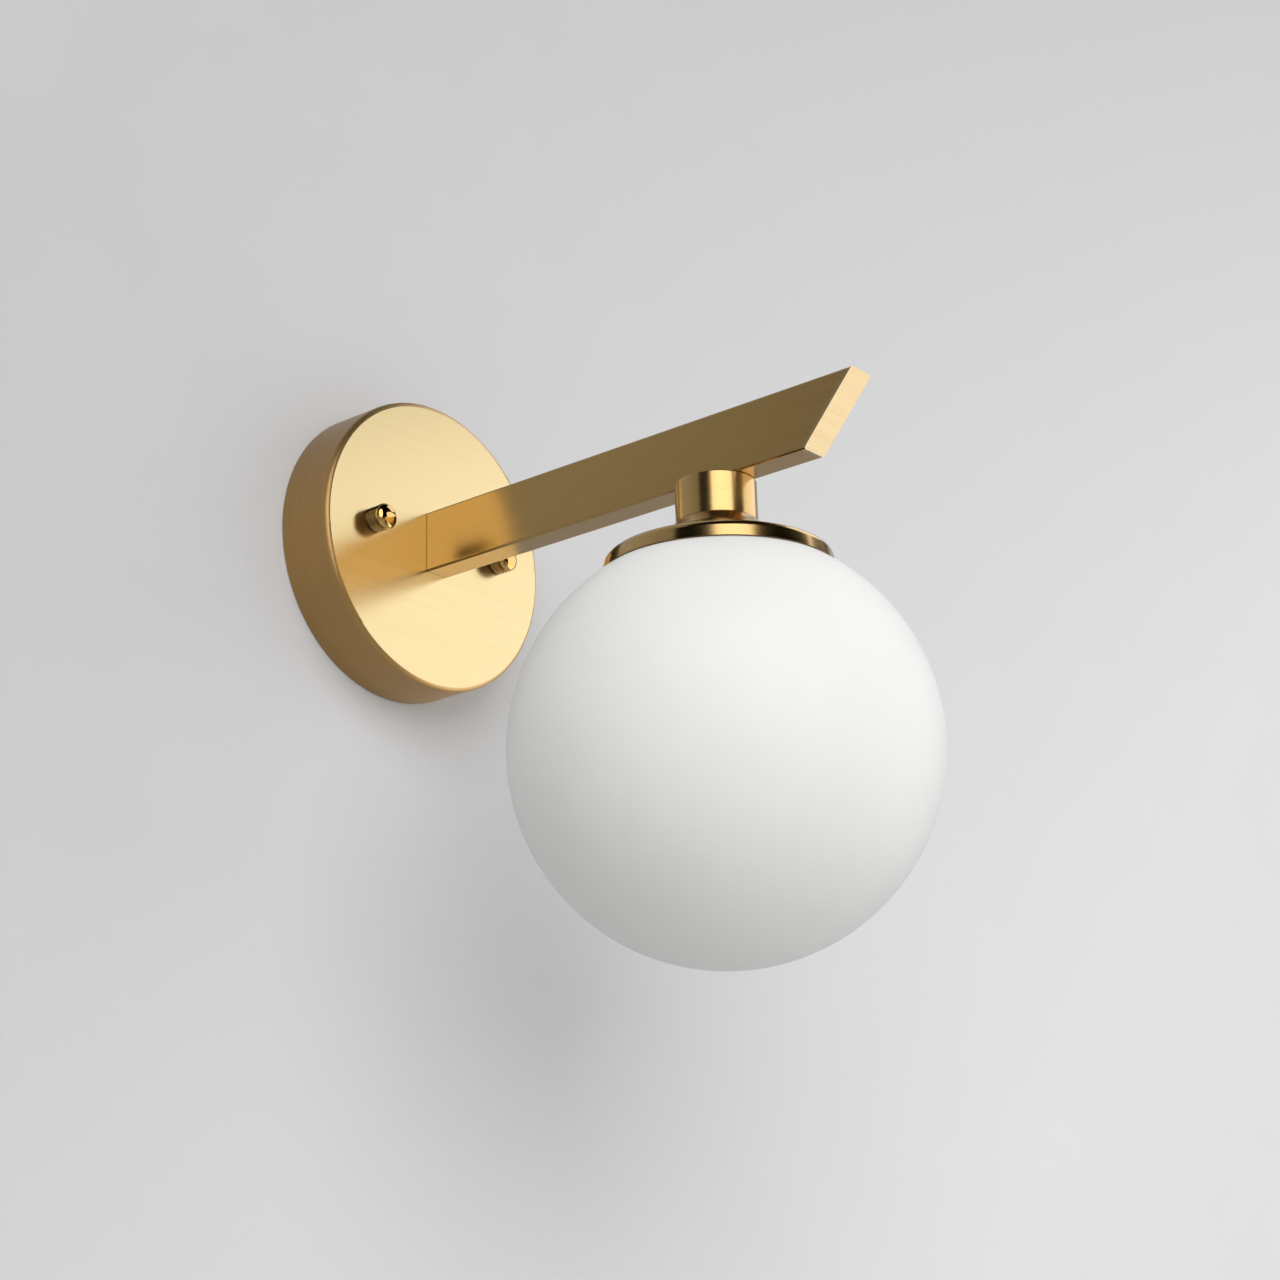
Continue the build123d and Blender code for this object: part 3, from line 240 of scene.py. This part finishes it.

# Wall plate: its face is brushed straight across, its rim is brushed round and duller. The face's tone is
# painted paler, a painted highlight, and the rim's darker and more saturated, painted shade. The face is
# where the surface looks along Y, and it gives way to the rim between these two cosines.
FACE_ENDS, FACE_FULL = 0.96, 0.995
RIM_ROUGHNESS = 0.46
plate_brass, tree, shader = finish_of("satin brass, brushed face and rim", {
    **BRASS_VALUES, "Anisotropic": 0.7, "Coat Weight": 0.6, "Coat Roughness": 0.3})
looks = add(tree, "ShaderNodeTexCoord").outputs["Normal"]
forwards = add(tree, "ShaderNodeVectorMath", {0: looks, 1: (0.0, 1.0, 0.0)}, operation="DOT_PRODUCT")
flatness = add(tree, "ShaderNodeMath", {0: forwards.outputs["Value"]}, operation="ABSOLUTE")
is_face = range_of(tree, flatness.outputs[0], FACE_ENDS, FACE_FULL)
straight = straight_grain(tree, (1.0, 0.0, 0.0))
circular = turned_grain(tree, (0.0, 1.0, 0.0), (0.0, 0.0, 0.0))
grain = [add(tree, "ShaderNodeMix", {0: is_face, 4: rim, 5: face}, data_type="VECTOR").outputs[1]
         for rim, face in zip(circular, straight)]
streaks = brushing(tree, shader, *grain, roughness=(0.17, 0.22))
face_roughness = shader.inputs["Roughness"].links[0].from_socket
least_roughness = range_of(tree, is_face, 0.0, 1.0, RIM_ROUGHNESS, 0.0)
plate_roughness = add(tree, "ShaderNodeMath", {0: face_roughness, 1: least_roughness}, operation="MAXIMUM")
tree.links.new(plate_roughness.outputs[0], shader.inputs["Roughness"])
# One brass in two tones: the rim painted darker as painted shade, the face paler as a painted highlight.
rim_shaded_tone = colour_mix(tree, streaks, "#AB854C", "#B58F54")
face_lit_tone = colour_mix(tree, streaks, "#BEAA7C", "#C4B083")
tree.links.new(colour_mix(tree, is_face, rim_shaded_tone, face_lit_tone), shader.inputs["Base Color"])

# Cap nuts and small turned brass: polished and lacquered, so the room shows in it nearly as in a mirror.
POLISHED_VALUES = {"Metallic": 1.0, "Coat Weight": 0.4, "Coat Roughness": 0.04}
SMUDGE_PITCH = 1.5 * MM


def smudged(tree):
    """Fingered polish: where the smudges are, and the metal's colour under them."""
    smudge = noise_at(tree, SMUDGE_PITCH, detail=3.0)
    return smudge, colour_mix(tree, smudge, "#B8924F", "#CDA964")


polished_brass, tree, shader = finish_of("polished brass", POLISHED_VALUES)
smudge, metal = smudged(tree)
tree.links.new(metal, shader.inputs["Base Color"])
tree.links.new(range_of(tree, smudge, *NOISE_SPREAD, 0.05, 0.14), shader.inputs["Roughness"])

# The knurl's grooves are painted dark as painted shade. The distance from the nut's axis tells groove from
# point. The top share of the knurl's depth is left unshaded, and so is the nut's front.
GROOVE_UNSHADED = 0.3
FRONT_FADE = 0.2 * MM
knurled_brass, tree, shader = finish_of("polished brass, knurled", POLISHED_VALUES)
at = add(tree, "ShaderNodeSeparateXYZ", {0: object_place(tree)})
beside = add(tree, "ShaderNodeMath", {0: at.outputs["X"]}, operation="ABSOLUTE")
across = add(tree, "ShaderNodeCombineXYZ", {"X": beside.outputs[0], "Z": at.outputs["Z"]})
spoke = add(tree, "ShaderNodeVectorMath", {0: across.outputs[0], 1: (NUT_X, 0.0, NUT_Z)},
            operation="DISTANCE").outputs["Value"]
out_of_shade = range_of(tree, spoke, NUT_RADIUS - KNURL_DEPTH, NUT_RADIUS - GROOVE_UNSHADED * KNURL_DEPTH)
front_y = PLATE_FACE_Y - NUT_KNURL
front = range_of(tree, at.outputs["Y"], front_y, front_y + FRONT_FADE, 1.0, 0.0)
unshaded = add(tree, "ShaderNodeMath", {0: out_of_shade, 1: front}, operation="MAXIMUM").outputs[0]
# Painted shade: dark brown in the knurl's grooves, the smudged polish elsewhere.
tree.links.new(colour_mix(tree, unshaded, "#5A3C18", smudged(tree)[1]), shader.inputs["Base Color"])
tree.links.new(range_of(tree, unshaded, 0.0, 1.0, 0.35, 0.09), shader.inputs["Roughness"])


# ---------------------------------------------------------------- glass

# Ball: opal glass blown in a mould, satin etched outside. Light sinks in and spreads, so it looks
# like even white with no hard highlight.
CLOUD_PITCH = 45 * MM
ETCH_PITCH = 0.4 * MM       # real etching is a tenth of this, drawn coarser so that it shows close up
ETCH_DEPTH = 0.004 * MM
opal_glass, tree, shader = finish_of("opal glass, satin etched", {
    "IOR": 1.5, "Subsurface Weight": 0.35, "Subsurface Radius": (1.0, 0.98, 0.94),
    "Subsurface Scale": 4 * MM, "Specular IOR Level": 0.3})
cloud = noise_at(tree, CLOUD_PITCH, detail=3.0)
tree.links.new(colour_mix(tree, cloud, "#E9E9E6", "#F0F1EE"), shader.inputs["Base Color"])
tree.links.new(range_of(tree, cloud, *NOISE_SPREAD, 0.5, 0.6), shader.inputs["Roughness"])
etched = add(tree, "ShaderNodeBump", {"Height": noise_at(tree, ETCH_PITCH), "Strength": 0.2,
                                      "Distance": ETCH_DEPTH})
tree.links.new(etched.outputs[0], shader.inputs["Normal"])


# ---------------------------------------------------------------- hidden metals, plastics and wires

def speckled(name, dark, light, pitch, roughness, **values):
    """A finish whose colour and roughness drift over a pitch, with a light bump at the same pitch."""
    values = {key.replace("_", " "): value for key, value in values.items()}
    material, tree, shader = finish_of(name, values)
    grain = noise_at(tree, pitch, detail=4.0)
    share = range_of(tree, grain, *NOISE_MIDDLE)
    tree.links.new(colour_mix(tree, share, dark, light), shader.inputs["Base Color"])
    tree.links.new(range_of(tree, grain, *NOISE_SPREAD, *roughness), shader.inputs["Roughness"])
    bump = add(tree, "ShaderNodeBump", {"Height": grain, "Strength": 0.2, "Distance": 0.02 * pitch})
    tree.links.new(bump.outputs[0], shader.inputs["Normal"])
    return material


# Bracket, nuts, screws, washers, rod: pressed or cut steel, zinc plated, with a cloudy blue-grey sheen.
zinc_steel = speckled("zinc plated steel", "#B2B6B9", "#C0C4C6", 2.5 * MM, (0.3, 0.38), Metallic=1.0)
# Ring inside the dish: turned aluminium.
turned_aluminium = speckled("turned aluminium", "#BFC1C2", "#D9DADA", 0.8 * MM, (0.3, 0.4), Metallic=1.0)
# Lampholder: glazed steatite, slightly uneven.
glazed_ceramic = speckled("glazed steatite", "#E4E0D4", "#F1EEE6", 6 * MM, (0.16, 0.28), IOR=1.55,
                          Coat_Weight=0.4)
# Terminal block, bushing and lamp base: moulded plastic with a fine spark-eroded grain.
white_plastic = speckled("moulded white polyamide", "#DEDCD5", "#E9E8E2", 0.6 * MM, (0.42, 0.55), IOR=1.53)
# Lamp cover: frosted moulded cover over the light strips.
frosted_cover = speckled("frosted polycarbonate", "#EDEDEA", "#F6F6F3", 1.2 * MM, (0.4, 0.5), IOR=1.58,
                         Transmission_Weight=0.35)
# Light strips: silicone mixed with phosphor, waxy yellow.
led_phosphor = speckled("phosphor silicone", "#E3B93A", "#EFCB58", 0.9 * MM, (0.35, 0.5), IOR=1.41)
# Gasket: clear silicone, cloudy white at this thickness.
clear_silicone = speckled("clear silicone", "#D6D9D8", "#E4E7E6", 2 * MM, (0.3, 0.42), IOR=1.41,
                          Transmission_Weight=0.3)
# Leads: extruded PVC, smooth and slightly uneven.
brown_pvc = speckled("brown PVC", "#5A3218", "#6B3E20", 2 * MM, (0.3, 0.42), IOR=1.53)
blue_pvc = speckled("blue PVC", "#1C4C94", "#2559A6", 2 * MM, (0.3, 0.42), IOR=1.53)

# Earth lead: green PVC with a yellow stripe extruded along it.
STRIPE_PITCH = 8 * MM
STRIPE_EDGE = (0.45, 0.55)
GREASE_PITCH = 2 * MM
striped_pvc, tree, shader = finish_of("green and yellow PVC", {"IOR": 1.53})
stripe = add(tree, "ShaderNodeTexWave", {"Vector": place_in(tree), "Scale": 1 / STRIPE_PITCH,
                                         "Distortion": 0.6},
             wave_type="BANDS", bands_direction="DIAGONAL")
edge = range_of(tree, stripe.outputs["Fac"], *STRIPE_EDGE)
tree.links.new(colour_mix(tree, edge, "#2C7A3A", "#D9C62F"), shader.inputs["Base Color"])
grease = noise_at(tree, GREASE_PITCH)
tree.links.new(range_of(tree, grease, *NOISE_SPREAD, 0.3, 0.42), shader.inputs["Roughness"])

dress(["arm_tube"], arm_brass)
dress(["arm_end_cap"], end_brass)
dress(["socket_cup"], turned_brass)
dress(["globe_dish"], spun_brass)
dress(["wall_plate"], plate_brass)
dress(["wall_bracket", "plate_studs", "stud_lock_nuts", "arm_root_plug", "arm_screws", "arm_screw_washers",
       "drop_block", "drop_rod", "dish_washer", "rod_nut", "lampholder_yoke", "lampholder_screws",
       "terminal_screws", "block_screws", "earth_screw", "led_core"], zinc_steel)
dress(["neck_ring"], turned_aluminium)
dress(["lampholder_contacts", "lamp_pins", "terminal_barrels", "earth_tag"], polished_brass)
dress(["lampholder_body"], glazed_ceramic)
dress(["terminal_block", "wire_bushing", "lamp_base"], white_plastic)
dress(["lamp_envelope"], frosted_cover)
dress(["led_strips"], led_phosphor)
dress(["neck_gasket"], clear_silicone)
dress(["live_wire"], brown_pvc)
dress(["neutral_wire"], blue_pvc)
dress(["earth_wire"], striped_pvc)


# ---------------------------------------------------------------- blown ball

def piece_from(mesh, name):
    """A new object in the scene that holds a bmesh, which is freed."""
    data = bpy.data.meshes.new(name)
    mesh.to_mesh(data)
    mesh.free()
    piece = bpy.data.objects.new(name, data)
    bpy.context.scene.collection.objects.link(piece)
    return piece


def spun(name, outline, axis_point, axis, steps):
    """A closed solid of revolution. The outline's points are (radius, distance along the axis)."""
    axis = Vector(axis)
    out = Vector((1.0, 0.0, 0.0))
    side = axis.cross(out)
    mesh = bmesh.new()
    rings = []
    for radius, along in outline:
        middle = Vector(axis_point) + axis * along
        if radius == 0.0:
            rings.append([mesh.verts.new(middle)] * steps)
            continue
        ring = []
        for i in range(steps):
            angle = 2 * pi * i / steps
            ring.append(mesh.verts.new(middle + (out * cos(angle) + side * sin(angle)) * radius))
        rings.append(ring)
    for first, second in zip(rings, rings[1:] + rings[:1]):
        for i in range(steps):
            j = (i + 1) % steps
            corners = dict.fromkeys((first[i], first[j], second[j], second[i]))
            if len(corners) > 2:
                mesh.faces.new(corners)
    bmesh.ops.recalc_face_normals(mesh, faces=mesh.faces)
    for face in mesh.faces:
        face.smooth = True
    return piece_from(mesh, name)


def sharpen(piece, degrees):
    """Marks the edges sharper than an angle, so that smooth shading stops at them."""
    piece.data.set_sharp_from_angle(angle=radians(degrees))


def arc(centre, radius, start, end, steps):
    """Points on an arc, angles in radians from the outward direction."""
    turn = (end - start) / steps
    return [(centre[0] + radius * cos(start + turn * i), centre[1] + radius * sin(start + turn * i))
            for i in range(steps + 1)]


def globe_outline():
    """The wall followed outside and inside, with the flat shoulder and the neck between."""
    centre = (0.0, GLOBE_CENTRE_Z)
    inner_radius = GLOBE_RADIUS - GLOBE_WALL
    bore = NECK_RADIUS - GLOBE_WALL
    under = SHOULDER_Z - GLOBE_WALL
    outside = asin((SHOULDER_Z - GLOBE_CENTRE_Z) / GLOBE_RADIUS)
    inside = asin((under - GLOBE_CENTRE_Z) / inner_radius)
    outer = arc(centre, GLOBE_RADIUS, -pi / 2, outside, STEPS_OUTSIDE)
    inner = arc(centre, inner_radius, inside, -pi / 2, STEPS_INSIDE)
    outer[0] = (0.0, outer[0][1])
    inner[-1] = (0.0, inner[-1][1])
    neck = [(NECK_RADIUS, SHOULDER_Z), (NECK_RADIUS, NECK_TOP_Z - LIP), (NECK_RADIUS - LIP, NECK_TOP_Z),
            (bore + LIP, NECK_TOP_Z), (bore, NECK_TOP_Z - LIP), (bore, under)]
    return outer + neck + inner


globe = spun("blown_globe", globe_outline(), DROP_AXIS, (0.0, 0.0, 1.0), STEPS_ROUND)
sharpen(globe, GLOBE_SHARP_ANGLE)
dress(["blown_globe"], opal_glass)
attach(globe, "globe")
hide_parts("glass_globe")


# ---------------------------------------------------------------- knurled cap nuts

def nut_outline():
    """Barrel core, a plain collar over the knurl and a crowned dome."""
    core = NUT_RADIUS - KNURL_DEPTH
    dome = []
    for i in range(DOME_STEPS + 1):
        angle = pi / 2 * i / DOME_STEPS
        dome.append((NUT_RADIUS * cos(angle) ** DOME_POWER,
                     NUT_KNURL + NUT_DOME * sin(angle) ** DOME_POWER))
    dome[-1] = (0.0, NUT_KNURL + NUT_DOME)
    barrel = [(NUT_BORE, 0.0), (core - NUT_CHAMFER, 0.0), (core, NUT_CHAMFER),
              (core, NUT_KNURL - COLLAR_FOOT), (NUT_RADIUS - NUT_CHAMFER, NUT_KNURL - COLLAR_EDGE)]
    return barrel + dome + [(0.0, NUT_BORE_DEPTH), (NUT_BORE, NUT_BORE_DEPTH)]


def knurl_tree():
    """Rows of four-sided points round a barrel along Y, each row half a pitch round from the last."""
    tree = bpy.data.node_groups.new("diamond knurl", "GeometryNodeTree")
    face = tree.interface
    face.new_socket("Geometry", in_out="INPUT", socket_type="NodeSocketGeometry")
    for name, kind in (("Around", "NodeSocketInt"), ("Rows", "NodeSocketInt"), ("Radius", "NodeSocketFloat"),
                       ("Start", "NodeSocketFloat"), ("Row Step", "NodeSocketFloat"),
                       ("Depth", "NodeSocketFloat"), ("Centre X", "NodeSocketFloat"),
                       ("Centre Z", "NodeSocketFloat"), ("Finish", "NodeSocketMaterial")):
        face.new_socket(name, in_out="INPUT", socket_type=kind)
    face.new_socket("Geometry", in_out="OUTPUT", socket_type="NodeSocketGeometry")
    given = add(tree, "NodeGroupInput").outputs

    def maths(operation, first, second=0.0):
        return add(tree, "ShaderNodeMath", {0: first, 1: second}, operation=operation).outputs[0]

    # Where each point stands.
    count = maths("MULTIPLY", given["Around"], given["Rows"])
    line = add(tree, "GeometryNodeMeshLine", {"Count": count})
    index = add(tree, "GeometryNodeInputIndex").outputs[0]
    place = maths("MODULO", index, given["Around"])
    row = maths("FLOOR", maths("DIVIDE", index, given["Around"]))
    half = maths("MULTIPLY", maths("MODULO", row, 2.0), 0.5)
    pitch = maths("DIVIDE", 2 * pi, given["Around"])
    angle = maths("MULTIPLY", maths("ADD", place, half), pitch)
    outward = add(tree, "ShaderNodeCombineXYZ", {"X": maths("COSINE", angle), "Z": maths("SINE", angle)})
    spoke = add(tree, "ShaderNodeVectorMath", {0: outward.outputs[0], "Scale": given["Radius"]},
                operation="SCALE")
    along = maths("SUBTRACT", given["Start"], maths("MULTIPLY", row, given["Row Step"]))
    middle = add(tree, "ShaderNodeCombineXYZ", {"X": given["Centre X"], "Y": along, "Z": given["Centre Z"]})
    spot = add(tree, "ShaderNodeVectorMath", {0: spoke.outputs[0], 1: middle.outputs[0]}, operation="ADD")
    spots = add(tree, "GeometryNodeSetPosition", {"Geometry": line.outputs[0], "Position": spot.outputs[0]})

    # One point, turned outwards and scaled to its place in the pattern.
    point = add(tree, "GeometryNodeMeshCone", {"Vertices": 4, "Side Segments": 1, "Fill Segments": 1,
                                               "Radius Top": POINT_TIP, "Radius Bottom": 1.0, "Depth": 1.0})
    turn = add(tree, "FunctionNodeAxesToRotation", {0: outward.outputs[0], 1: (0.0, 1.0, 0.0)},
               primary_axis="Z", secondary_axis="Y")
    width = maths("MULTIPLY", maths("MULTIPLY", pitch, given["Radius"]), POINT_WIDTH)
    length = maths("MULTIPLY", given["Row Step"], POINT_LENGTH)
    size = add(tree, "ShaderNodeCombineXYZ", {"X": width, "Y": length, "Z": given["Depth"]})
    points = add(tree, "GeometryNodeInstanceOnPoints", {
        "Points": spots.outputs[0], "Instance": point.outputs["Mesh"], "Rotation": turn.outputs[0],
        "Scale": size.outputs[0]})

    joined = add(tree, "GeometryNodeJoinGeometry")
    tree.links.new(points.outputs[0], joined.inputs[0])
    tree.links.new(given["Geometry"], joined.inputs[0])
    real = add(tree, "GeometryNodeRealizeInstances", {"Geometry": joined.outputs[0]})
    done = add(tree, "GeometryNodeSetMaterial", {"Geometry": real.outputs[0], "Material": given["Finish"]})
    add(tree, "NodeGroupOutput", {0: done.outputs[0]})
    return tree


def set_inputs(modifier, values):
    """Sets a Geometry Nodes modifier's inputs by the sockets' identifiers."""
    for item in modifier.node_group.interface.items_tree:
        if item.in_out == "INPUT" and item.name in values:
            modifier[item.identifier] = values[item.name]


def settle(piece):
    """Turns a piece and its modifiers into one plain mesh."""
    depsgraph = bpy.context.evaluated_depsgraph_get()
    plain = bpy.data.meshes.new_from_object(piece.evaluated_get(depsgraph))
    piece.modifiers.clear()
    piece.data = plain
    plain.name = piece.name


knurl = knurl_tree()
row_step = KNURL_LENGTH / (KNURL_ROWS + 1)
for body, cad_node, x in (("left_nut", "cap_nut_left", -NUT_X), ("right_nut", "cap_nut_right", NUT_X)):
    nut = spun("knurled_" + body, nut_outline(), (x, PLATE_FACE_Y, NUT_Z), (0.0, -1.0, 0.0), NUT_STEPS)
    modifier = nut.modifiers.new("knurl", "NODES")
    modifier.node_group = knurl
    set_inputs(modifier, {"Around": KNURL_AROUND, "Rows": KNURL_ROWS, "Radius": NUT_RADIUS - KNURL_DEPTH,
                          "Start": PLATE_FACE_Y - KNURL_INSET - row_step, "Row Step": row_step,
                          "Depth": KNURL_DEPTH, "Centre X": x, "Centre Z": NUT_Z, "Finish": knurled_brass})
    settle(nut)
    sharpen(nut, NUT_SHARP_ANGLE)
    dress([nut.name], knurled_brass)
    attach(nut, body)
    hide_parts(cad_node)


# ---------------------------------------------------------------- floor and wall

FLOOR_Z = -1.7
FLOOR_WIDTH = 40.0
floor_paint = speckled("pale floor", "#E6E6E6", "#E9E9E9", 400 * MM, (0.6, 0.7))
reach = FLOOR_WIDTH / 2
mesh = bmesh.new()
mesh.faces.new([mesh.verts.new((reach * x, reach * y, FLOOR_Z))
                for x, y in ((-1, -1), (1, -1), (1, 1), (-1, 1))])
floor = piece_from(mesh, "floor")
floor.data.materials.append(floor_paint)

WALL_PITCH = 60 * MM        # soft roller texture
WALL_ROUGHNESS = (0.7, 0.8)
WALL_Y = 0.0005
WALL_REACH = 3.0
WALL_IN_BRASS_LEFT = -0.95
WALL_OPENING = 0.055
WALL_STEPS = 64


def shaded_paint(name, dark, light, direction, low, high, before="", after=""):
    """Wall paint that turns along a direction from the tone before low to the tone after high.

    A tone that isn't given is the paint's own.
    """
    material = speckled(name, dark, light, WALL_PITCH, WALL_ROUGHNESS)
    tree = material.node_tree
    painted = tree.nodes["Principled BSDF"].inputs["Base Color"]
    speckles = painted.links[0].from_socket
    across = add(tree, "ShaderNodeVectorMath", {0: object_place(tree), 1: direction}, operation="DOT_PRODUCT")
    share = range_of(tree, across.outputs["Value"], low, high)
    tree.links.new(colour_mix(tree, share, before or speckles, after or speckles), painted)
    return material


# The wall is paler towards the lower right, where the light falls, and clear from behind.
wall_paint = shaded_paint("pale wall", "#C1C1C2", "#C3C3C4", (1.0, 0.0, -1.0), low=-0.3, high=0.7,
                          after="#E6E6E7")
tree = wall_paint.node_tree
surface = tree.nodes["Material Output"].inputs["Surface"]
painted = surface.links[0].from_socket
behind = add(tree, "ShaderNodeNewGeometry").outputs["Backfacing"]
clear = add(tree, "ShaderNodeBsdfTransparent").outputs[0]
tree.links.new(add(tree, "ShaderNodeMixShader", {0: behind, 1: painted, 2: clear}).outputs[0], surface)

# What the brass sees of the wall ends sooner on the left, where the room is dark, and dims towards it.
dim_paint = shaded_paint("wall in the brass", "#B6B6B6", "#B8B8B8", (1.0, 0.0, 0.0), low=-0.35, high=-0.07,
                         before="#949494")


def wall(name, left, finish):
    """The wall's front from X = left, with a round opening behind the plate for the cable."""
    mesh = bmesh.new()
    inner, outer = [], []
    for i in range(WALL_STEPS):
        angle = 2 * pi * (i + 0.5) / WALL_STEPS
        across, upwards = cos(angle), sin(angle)
        reach = WALL_REACH / max(abs(across), abs(upwards))
        inner.append(mesh.verts.new((WALL_OPENING * across, WALL_Y, WALL_OPENING * upwards)))
        outer.append(mesh.verts.new((max(left, reach * across), WALL_Y, reach * upwards)))
    for i in range(WALL_STEPS):
        j = (i + 1) % WALL_STEPS
        mesh.faces.new((inner[i], outer[i], outer[j], inner[j]))
    piece = piece_from(mesh, name)
    piece.data.materials.append(finish)
    piece.visible_diffuse = piece.visible_shadow = piece.visible_transmission = False
    return piece


wall("wall", -WALL_REACH, wall_paint).visible_glossy = False
wall("wall_in_brass", WALL_IN_BRASS_LEFT, dim_paint).visible_camera = False


# ---------------------------------------------------------------- lights

LIT_POINT = Vector((0.0, -0.12, -0.05))


def softbox(name, azimuth, elevation, distance, width, height, radiance):
    """A soft light panel that faces the middle of the sconce. Azimuth is from +X towards +Y, in degrees."""
    a, e = radians(azimuth), radians(elevation)
    away = Vector((cos(a) * cos(e), sin(a) * cos(e), sin(e)))
    data = bpy.data.lights.new(name, "AREA")
    data.shape = "RECTANGLE"
    data.size, data.size_y = width, height
    data.energy = radiance * pi * width * height
    lamp = bpy.data.objects.new(name, data)
    lamp.rotation_mode = "QUATERNION"
    lamp.location = LIT_POINT + away * distance
    lamp.rotation_quaternion = away.to_track_quat("Z", "Y")
    lamp.visible_camera = False
    bpy.context.scene.collection.objects.link(lamp)
    return lamp


# Each panel's name, azimuth, elevation, distance, width, height and radiance. On the right, the panel
# that shows in the brass is brighter than the one that lights glass and wall.
softbox("key_right", 326, -3, 2.0, 2.2, 2.5, 1.9).visible_diffuse = False
softbox("soft_right", 326, -8, 2.0, 2.2, 2.7, 0.57).visible_glossy = False
# Shows in the right side of the dish, whose wall leans back.
softbox("high_right", 344, 44, 2.0, 1.2, 0.8, 1.7).visible_diffuse = False
softbox("key_left", 235, 20, 2.0, 2.1, 2.2, 2.1).data.shape = "ELLIPSE"
softbox("front_fill", 270, 15, 2.2, 2.0, 2.0, 0.15).visible_glossy = False
softbox("back_fill", 90, 20, 2.5, 2.5, 2.5, 0.5)
# Keeps the arm's flank from going black when it is seen square on.
softbox("side_glow", 187, -6, 3.0, 2.4, 0.9, 0.35).visible_diffuse = False

world = bpy.data.worlds.new("studio")
bpy.context.scene.world = world
world.use_nodes = True
background = world.node_tree.nodes["Background"]
background.inputs["Color"].default_value = linear("#FFFFFF")
background.inputs["Strength"].default_value = 0.46
world.cycles_visibility.glossy = False

bpy.context.scene.view_settings.view_transform = "Standard"


# ---------------------------------------------------------------- camera

CAMERA_PLACE = (-0.62030, -0.64048, -0.31905)
YAW, PITCH, ROLL = 0.8817, 0.3081, -0.0266
FOCAL_LENGTH, SENSOR_WIDTH = 64.6875, 36.0
forward = Vector((sin(YAW) * cos(PITCH), cos(YAW) * cos(PITCH), sin(PITCH)))
level = Vector((cos(YAW), -sin(YAW), 0.0))
upright = level.cross(forward)
right = cos(ROLL) * level + sin(ROLL) * upright
up = -sin(ROLL) * level + cos(ROLL) * upright
camera_data = bpy.data.cameras.new("camera")
camera_data.lens = FOCAL_LENGTH
camera_data.sensor_width = SENSOR_WIDTH
camera_data.clip_start = 0.05
camera_data.clip_end = 100.0
camera = bpy.data.objects.new("camera", camera_data)
bpy.context.scene.collection.objects.link(camera)
turn = Matrix((right, up, -forward)).transposed()
camera.matrix_world = Matrix.Translation(CAMERA_PLACE) @ turn.to_4x4()
bpy.context.scene.camera = camera
